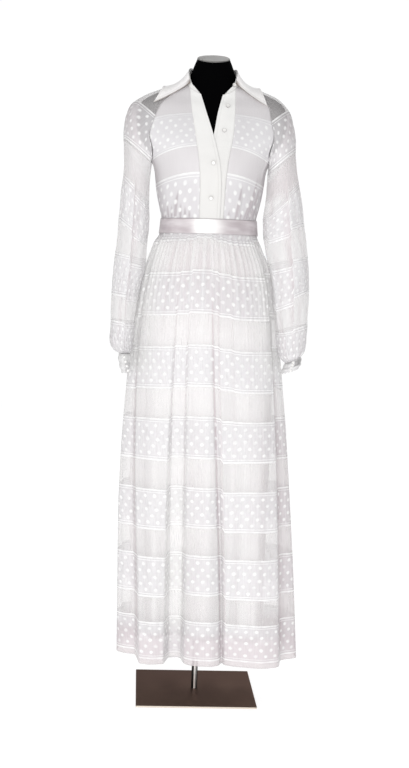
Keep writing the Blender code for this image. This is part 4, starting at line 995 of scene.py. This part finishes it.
def sleeveRings(side, turn):
    rows = sleeve[sideName[side]]
    top = (1 - np.cos(turn)) / 2
    seam, first = seamRing(side, turn), ovalRing(rows, 0, side, turn)
    rings = []
    for step in range(sleeve["shoulderSteps"]):
        share = step / sleeve["shoulderSteps"]
        ring = seam * (1 - share) + first * share
        crest = ring[np.argmax(top)]
        rise = read(sleeve["crest"], sideName[side], abs(crest[0]), key="x") - crest[2]
        ring[:, 2] += rise * top ** 4
        rings.append(outsideBodice(ring, sleeve["overBodice"]) if step else ring)
    rings[0][:, 0] += side * sleeve["seamOut"] * (1 - top) ** 3
    rings[0][:, 2] -= sleeve["crestSink"] * (top > 0.97)
    for index in range(len(rows["topX"])):
        ring = outsideBodice(ovalRing(rows, index, side, turn), sleeve["overBodice"])
        rings.append(besideSkirt(ring, side, sleeve["offSkirt"]))
    rings.append(ovalRing(sleeve["cuff" + sideName[side].title()], 0, side, turn) + (0, 0, sleeve["overCuff"]))
    return np.array(rings)


def stripeLevels(points, stripes):
    # cloth place of each point: between the slanted stripe lines above and below it
    x, z = np.abs(points[..., 0]), points[..., 2]
    slope = (stripes["outerZ"] - stripes["innerZ"]) / (stripes["outerX"] - stripes["innerX"])
    level = [outerZ + lean * (np.minimum(x, outerX + 0.004) - outerX)
             for outerZ, lean, outerX in zip(stripes["outerZ"], slope, stripes["outerX"])]
    down = stripes["cloth"][0] + 0 * z
    for above, under, depth in zip(level, level[1:], np.diff(stripes["cloth"])):
        down = down + np.clip((above - z) / (above - under), 0, 1) * depth
    return down


sleeveWaves = ("fine", "crumple", "gathers")


def makeSleeve(side):
    name = "sleeve_" + sideName[side]
    turn = np.arange(sleeve["around"]) * tau / sleeve["around"]
    rings = sleeveRings(side, turn)
    stations = arcAlong(rings, 0).mean(axis=1)
    wanted = np.linspace(0, stations[-1], sleeve["along"] + 1)
    points = throughRings(rings, stations, wanted)
    part = (wanted / wanted[-1])[:, None]
    normal = side * gridNormals(points[::-1], closed=True)[::-1]
    # long soft ripples, the main crease, and close gathers over the cuff
    lower = smoothStep(part, *sleeve["lower"])
    fine, crumple, gathers = (ripple(turn[None], part * rows, waves, seed + side, drift)
                              for _, rows, waves, seed, drift in (sleeve[kind] for kind in sleeveWaves))
    fineDepth, crumpleDepth, gatherDepth = (sleeve[kind][0] for kind in sleeveWaves)
    # away runs on to the seam's second edge, in degrees off the crease
    away = np.degrees(np.append(turn, tau)) - sleeve[sideName[side] + "Crease"]
    away = away - sleeve["creaseSway"] * np.sin(part * 5)
    off, reach, (gentle, steep) = away[:, :-1], window(part, *sleeve["creaseReach"]), sleeve["creaseSides"]
    fold = np.where(off > 0, np.exp(-off / gentle), np.exp(np.minimum(off, 0) / steep))
    close = smoothStep(part, *sleeve["gathersFrom"]) * (1 - ramp(part, *sleeve["gathersEnd"]))
    lift = fineDepth * (sleeve["fineMiddle"] + fine) * (1 - ramp(part, *sleeve["fineEnd"])) + crumpleDepth * crumple
    lift = lift * lower + sleeve["creaseDepth"] * fold * reach + gatherDepth * gathers * close
    points = besideSkirt(points + normal * lift[..., None], side, sleeve["offHip"])
    # under the crease the cloth hangs lower, so the stripes are broken there
    down = stripeLevels(closeUp(points), sleeve[sideName[side] + "Stripes"])
    down = down - sleeve["stripeBreak"] * window(away, *sleeve["lowerSide"]) * reach
    across = np.linspace(0, sleeve["round"], sleeve["around"] + 1) + 0 * down
    # painted shade beside the main crease on the side that hangs lower, and in the gathers' troughs over the cuff
    beside = np.where(off > 0, 0, np.exp(np.minimum(off, 0) / sleeve["creaseShadeWidth"]))
    shade = sleeve["creaseShade"] * beside * reach + np.clip(-gathers, 0, 1) * ramp(part, *sleeve["gatherShade"])
    # the top of the sleeve is doubled by its seam and its folds, most at its outer side: a little denser, and darkened
    # with painted shade
    outer = ramp(np.abs(points[..., 0]), *sleeve["outerShade"])
    shade += (sleeve["topShade"] + outer) * smoothStep(part, *sleeve["topEnd"])
    # more painted shade on the upper arm, most on the left sleeve
    shade += sleeve[sideName[side] + "ArmShade"] * window(part, *sleeve["armReach"])
    # painted shade in the troughs of the ripples and crumples
    shade += (sleeve["fineShade"] * np.clip(-fine, 0, 1) + sleeve["crumpleShade"] * np.clip(-crumple, 0, 1)) * lower
    piece = addCloth(name, points, "sleeve", "organza", sleeve["wall"], shade, np.stack([across, down], axis=-1),
                     closed=True, turned="rows " + turnedRight[side], nodes=[name + "_upper", name + "_lower"])


def makeCuff(side):
    turn = np.arange(sleeve["cuffAround"]) * tau / sleeve["cuffAround"]
    rows = sleeve["cuff" + sideName[side].title()]
    rings = np.array([ovalRing(rows, index, side, turn) for index in range(len(rows["topX"]))])
    part = np.linspace(0, 1, sleeve["cuffRows"] + 1)[:, None]
    points = throughRings(rings, np.linspace(0, 1, len(rings)), 1 - part[:, 0])
    # the soft band is drawn up into puckers and a scalloped edge
    wave = ripple(turn[None], part * 4, cuff["waves"], 70 + side, 1.6)
    pucker = np.cos(tau * cuff["puckers"] * (part + 0.03 * wave))
    out = np.stack([side * -np.cos(turn), -np.sin(turn), 0 * turn], axis=-1)
    points = points + out * (cuff["waveDepth"] * wave + cuff["puckerDepth"] * pucker * (1 + wave))[..., None]
    points[..., 2] += cuff["scallopDepth"] * np.sin(turn * cuff["scallops"] + side) * (1 - part) ** 3
    points = besideSkirt(points, side, cuff["offSkirt"])
    degrees = np.degrees(turn)
    # painted shade in the troughs of the waves and puckers, and at the top under the sleeve
    shade = cuff["waveShade"] * np.clip(-wave, 0, 1) + cuff["puckerShade"] * np.clip(-pucker, 0, 1)
    shade += ridges(part, [cuff["topShade"]])
    if side > 0:
        aside, high = cuff["leftSpot"]
        shade += cuff["leftShade"] * window(degrees, *cuff["leftTurn"]) * window(part, *cuff["leftReach"])
        shade += ridges(degrees, [aside]) * ridges(part, [high])
    else:
        shade += cuff["rightShade"] * window(degrees, *cuff["rightTurn"])
    piece = addCloth("cuff_" + sideName[side], points, "cuff", "placket", sleeve["cuffWall"], shade, closed=True,
                     turned=turnedRight[side])


for wearerSide in (-1, 1):
    makeSleeve(wearerSide)
    makeCuff(wearerSide)
print("sleeves made")


# collar, stand and belt

collar = {
    "columns": 168, "rows": 34, "wall": 0.0010, "standRows": 12, "standInto": 0.0012, "standOut": 0.0010,
    "standShade": (0.5, 0.0, 0.12),
    # pressed edge with a line of stitches 4 mm inside it; painted shade darkens both
    "waves": (3, 5, 8), "waveDepth": 0.0009, "edgeRidges": ((0.0005, 0.0, 0.10), (-0.0004, 0.35, 0.07)),
    "edgeShade": ((0.16, 0.0, 0.07), (0.14, 0.35, 0.05)),
    # the front ends' edges are turned under; painted shadow darkens them and the fold near them
    "cornerShade": ((0.9, 0.0, 0.10), (1.0, 0.012, 0.022)), "endShade": (0.95, 0.0, 0.0055),
    "standTop": table("angle x y z",
                      "10 -.052 -.052 1.532, 33 -.0562 -.04 1.548, 60 -.0573 -.0215 1.562, 90 -.0562 .004 1.572, "
                      "125 -.0475 .035 1.577, 155 -.0275 .052 1.579, 180 0 .057 1.5795"),
    # fold, middle and edge of the fall, from the wearer's right front end round the back to the left one
    "fall": numbers(
        "-.0545 -.0535 1.5325 -.0985 -.079 1.496 -.143 -.06 1.4813, "
        "-.059 -.0365 1.5545 -.089 -.054 1.516 -.129 -.045 1.5075, "
        "-.0578 .004 1.5745 -.077 .006 1.533 -.117 .003 1.5275, "
        "-.049 .0365 1.5795 -.069 .053 1.544 -.093 .059 1.518, "
        "-.0285 .0545 1.5815 -.04 .074 1.546 -.052 .079 1.509, 0 .0592 1.582 0 .077 1.546 0 .083 1.506, "
        ".0285 .0545 1.5815 .04 .074 1.546 .052 .079 1.509, .049 .0365 1.5795 .069 .053 1.544 .093 .059 1.518, "
        ".0578 .004 1.5745 .075 .006 1.533 .111 .003 1.529, .059 -.0365 1.5545 .086 -.054 1.515 .124 -.045 1.508, "
        ".056 -.0535 1.5335 .0965 -.08 1.495 .135 -.0645 1.478").reshape(-1, 3, 3),
}


def makeStand():
    angles = np.linspace(10.0, 180.0, collar["columns"] // 2 + 1)
    low = torso(-angles, neckHeight(angles) - collar["standInto"], ease(1.54) + collar["standOut"] + 0 * angles)
    high = np.stack([read(collar["standTop"], name, angles, key="angle") for name in "xyz"], axis=-1)
    part = np.linspace(0, 1, collar["standRows"] + 1)[:, None, None]
    half = low * (1 - part) + high * part
    points = np.concatenate([half, half[:, -2::-1] * (-1, 1, 1)], axis=1)[:, ::-1]
    # painted shade at the foot of the stand, against the neckline
    shade = ridges(part[..., 0], [collar["standShade"]])
    piece = addCloth("collar_stand", points, "facing", "placket", collar["wall"], shade)


def makeCollar():
    grid = collar["fall"]
    places = arcAlong(grid[:, 1], 0)
    lines = throughRings(grid, places, np.linspace(0.0, places[-1], collar["columns"] + 1))
    # each column is a quadratic curve from the fold over the middle to the edge
    part = np.linspace(0, 1, collar["rows"] + 1)[:, None, None]
    points = (1 - part) ** 2 * lines[:, 0] + 2 * part * (1 - part) * lines[:, 1] + part ** 2 * lines[:, 2]
    part = part[..., 0]
    along = np.linspace(0, 1, points.shape[1])[None, :]
    ends = np.minimum(along, 1 - along)
    edge = np.minimum(ends * 12, (1 - part) * 6)
    wave = ripple(along * tau, part * 2, collar["waves"], 80)
    lift = collar["waveDepth"] * (1 + wave) * part + ridges(edge, collar["edgeRidges"])
    points = points + gridNormals(points[::-1, ::-1])[::-1, ::-1] * lift[..., None]
    # painted shade on the edge and the stitch line, at the fold near the front ends, and along the front edges
    high, aside = collar["cornerShade"]
    shade = ridges(edge, collar["edgeShade"]) + ridges(part, [high]) * ridges(ends, [aside])
    shade = shade + ridges(ends, [collar["endShade"]]) * (1 - 0.6 * part ** 3)
    piece = addCloth("collar", points, "collar", "placket", collar["wall"], shade, turned="rows columns")


belt = {
    "low": 1.1660, "high": 1.2030, "out": 0.0022, "flare": 0.0027, "columns": 240, "rows": 18, "wall": 0.0009,
    # the ribbon is flat with a thin woven edge, and dents a little along its length; painted shade lies on both edges
    # and in the dents
    "waves": (4, 7, 11, 19), "waveDepth": 0.0005, "waveShade": 0.35, "edgeRidge": (0.00035, 0.03, 0.02),
    "edgeShade": 0.035,
}


def makeBelt():
    turn = np.arange(belt["columns"]) * 360.0 / belt["columns"]
    part = np.linspace(0, 1, belt["rows"] + 1)[:, None]
    low = torso(turn, belt["low"], belt["out"] + belt["flare"])
    high = torso(turn, belt["high"], belt["out"])
    points = low * (1 - part[..., None]) + high * part[..., None]
    out = points * (1, 1, 0)
    out = out / np.linalg.norm(out, axis=-1, keepdims=True)
    wave = ripple(np.radians(turn)[None], part * 2, belt["waves"], 90)
    edge = np.minimum(part, 1 - part)
    lift = belt["waveDepth"] * (1 + wave) + ridges(edge, [belt["edgeRidge"]])
    # painted shade along both edges and in the dents
    shade = bell(edge, belt["edgeShade"]) + belt["waveShade"] * np.clip(-wave, 0, 1)
    piece = addCloth("belt", points + out * lift[..., None], "satin", "satin", belt["wall"], shade, closed=True)


makeStand()
makeCollar()
makeBelt()
print("collar and belt made")


# buttons: each CAD button is replaced by a dished one at the same place

button = {
    "sides": 28, "lean": 0.6,
    # lathe profile from the middle out: dished face, rounded rim, straight side; a cuff's button is domed
    "reach": (0.004, 0.25, 0.5, 0.68, 0.80, 0.90, 0.97, 1.0, 0.98, 0.94),
    "dished": (0.86, 0.84, 0.80, 0.86, 0.97, 1.0, 0.93, 0.74, 0.35, 0.0),
    "domed": (1.0, 0.98, 0.92, 0.84, 0.74, 0.62, 0.46, 0.30, 0.15, 0.0),
}


def makeButton(node, shape, rimShade):
    source = bpy.data.objects[node].data
    places = np.empty(len(source.vertices) * 3)
    source.vertices.foreach_get("co", places)
    places = places.reshape(-1, 3)
    centre = places.mean(axis=0)
    # the disc's axis is the direction in which its corners spread least
    axis = np.linalg.svd(places - centre)[2][2]
    axis = axis * np.sign(axis @ (centre * (button["lean"], 1, 0)))
    heights = (places - centre) @ axis
    radius = np.linalg.norm(np.cross(places - centre, axis), axis=1).max()
    first = np.cross(axis, (0.0, 0.0, 1.0))
    first = first / np.linalg.norm(first)
    turn = np.arange(button["sides"])[:, None] * tau / button["sides"]
    ring = np.cos(turn) * first + np.sin(turn) * np.cross(axis, first)
    reach, rise = (np.array(button[name])[::-1, None, None] for name in ("reach", shape))
    points = centre + ring * radius * reach + axis * (heights.min() + (heights.max() - heights.min()) * rise)
    # painted shade round the button's rim
    rim = np.interp(reach[..., 0], (0.80, 0.93), (0.0, rimShade)) + 0 * points[..., 0]
    addPiece(node, points, materials["button"], "placket", fold=rim, closed=True)


for number in range(1, 6):
    makeButton("button_%d" % number, "dished", 1.0)
for wearerSide in (-1, 1):
    for number in range(1, 5):
        makeButton("cuff_button_%s_%d" % (sideName[wearerSide], number), "domed", 0.4)
print("buttons made")


# floor, light and camera

studio = {
    "skyLight": 0.52, "backdrop": 1.02, "floorHalf": 7.0, "floorDrop": 0.0004, "floorTone": (0.30, 0.30, 0.30),
    "floorGlow": 0.84,
    # place, aim, width and watts
    "lights": {
        "frontLight": ((-0.4, -4.6, 0.95), (0, 0, 0.75), 2.2, 122.0),
        "backLight": ((0.9, 3.8, 3.6), (0, 0, 0.9), 2.0, 40.0),
        "sideLight": ((-3.2, -1.8, 1.2), (0, 0, 0.7), 1.6, 7.0),
    },
    "lens": 62.81, "sensor": 36.0, "tilt": 4.809, "roll": 1.8, "cameraAt": (0.00244, -3.37743, 1.0749),
}


def addObject(name, data):
    holder = bpy.data.objects.new(name, data)
    bpy.context.scene.collection.objects.link(holder)
    return holder


floorMesh = bpy.data.meshes.new("floor")
corners = [(x * studio["floorHalf"], y * studio["floorHalf"], -studio["floorDrop"])
           for x, y in ((-1, -1), (1, -1), (1, 1), (-1, 1))]
floorMesh.from_pydata(corners, [], [(0, 1, 2, 3)])
floorMesh.materials.append(Shade("floorPaper").finish(
    baseColor=studio["floorTone"], roughness=0.9, specularIorLevel=0.1, emissionColor=(1.0, 1.0, 1.0),
    emissionStrength=studio["floorGlow"]))
addObject("floor", floorMesh)

world = bpy.data.worlds.new("studioAir")
world.use_nodes = True
background = world.node_tree.nodes["Background"].inputs
put(background["Color"], (1.0, 1.0, 1.0))
seen = addNode(world.node_tree, "LightPath", output="Is Camera Ray")
put(background["Strength"], seen.fade(0.0, 1.0, studio["skyLight"], studio["backdrop"]))
bpy.context.scene.world = world

for name, (place, aim, width, watts) in studio["lights"].items():
    lamp = bpy.data.lights.new(name, "AREA")
    lamp.size, lamp.energy = width, watts
    holder = addObject(name, lamp)
    holder.location = place
    holder.rotation_euler = (Vector(aim) - Vector(place)).to_track_quat("-Z", "Y").to_euler()

camera = bpy.data.cameras.new("camera")
camera.lens, camera.sensor_width = studio["lens"], studio["sensor"]
tilt, roll = math.radians(studio["tilt"]), math.radians(studio["roll"])
forward = Vector((0, math.cos(tilt), -math.sin(tilt)))
level = Vector((1, 0, 0))
upright = level.cross(forward)
right = math.cos(roll) * level + math.sin(roll) * upright
above = -math.sin(roll) * level + math.cos(roll) * upright
viewer = addObject("camera", camera)
viewer.matrix_world = Matrix.Translation(studio["cameraAt"]) @ Matrix((right, above, -forward)).transposed().to_4x4()
bpy.context.scene.camera = viewer
bpy.context.scene.view_settings.view_transform = "Standard"
bpy.context.scene.cycles.transparent_max_bounces = 32

print("ready to finish")
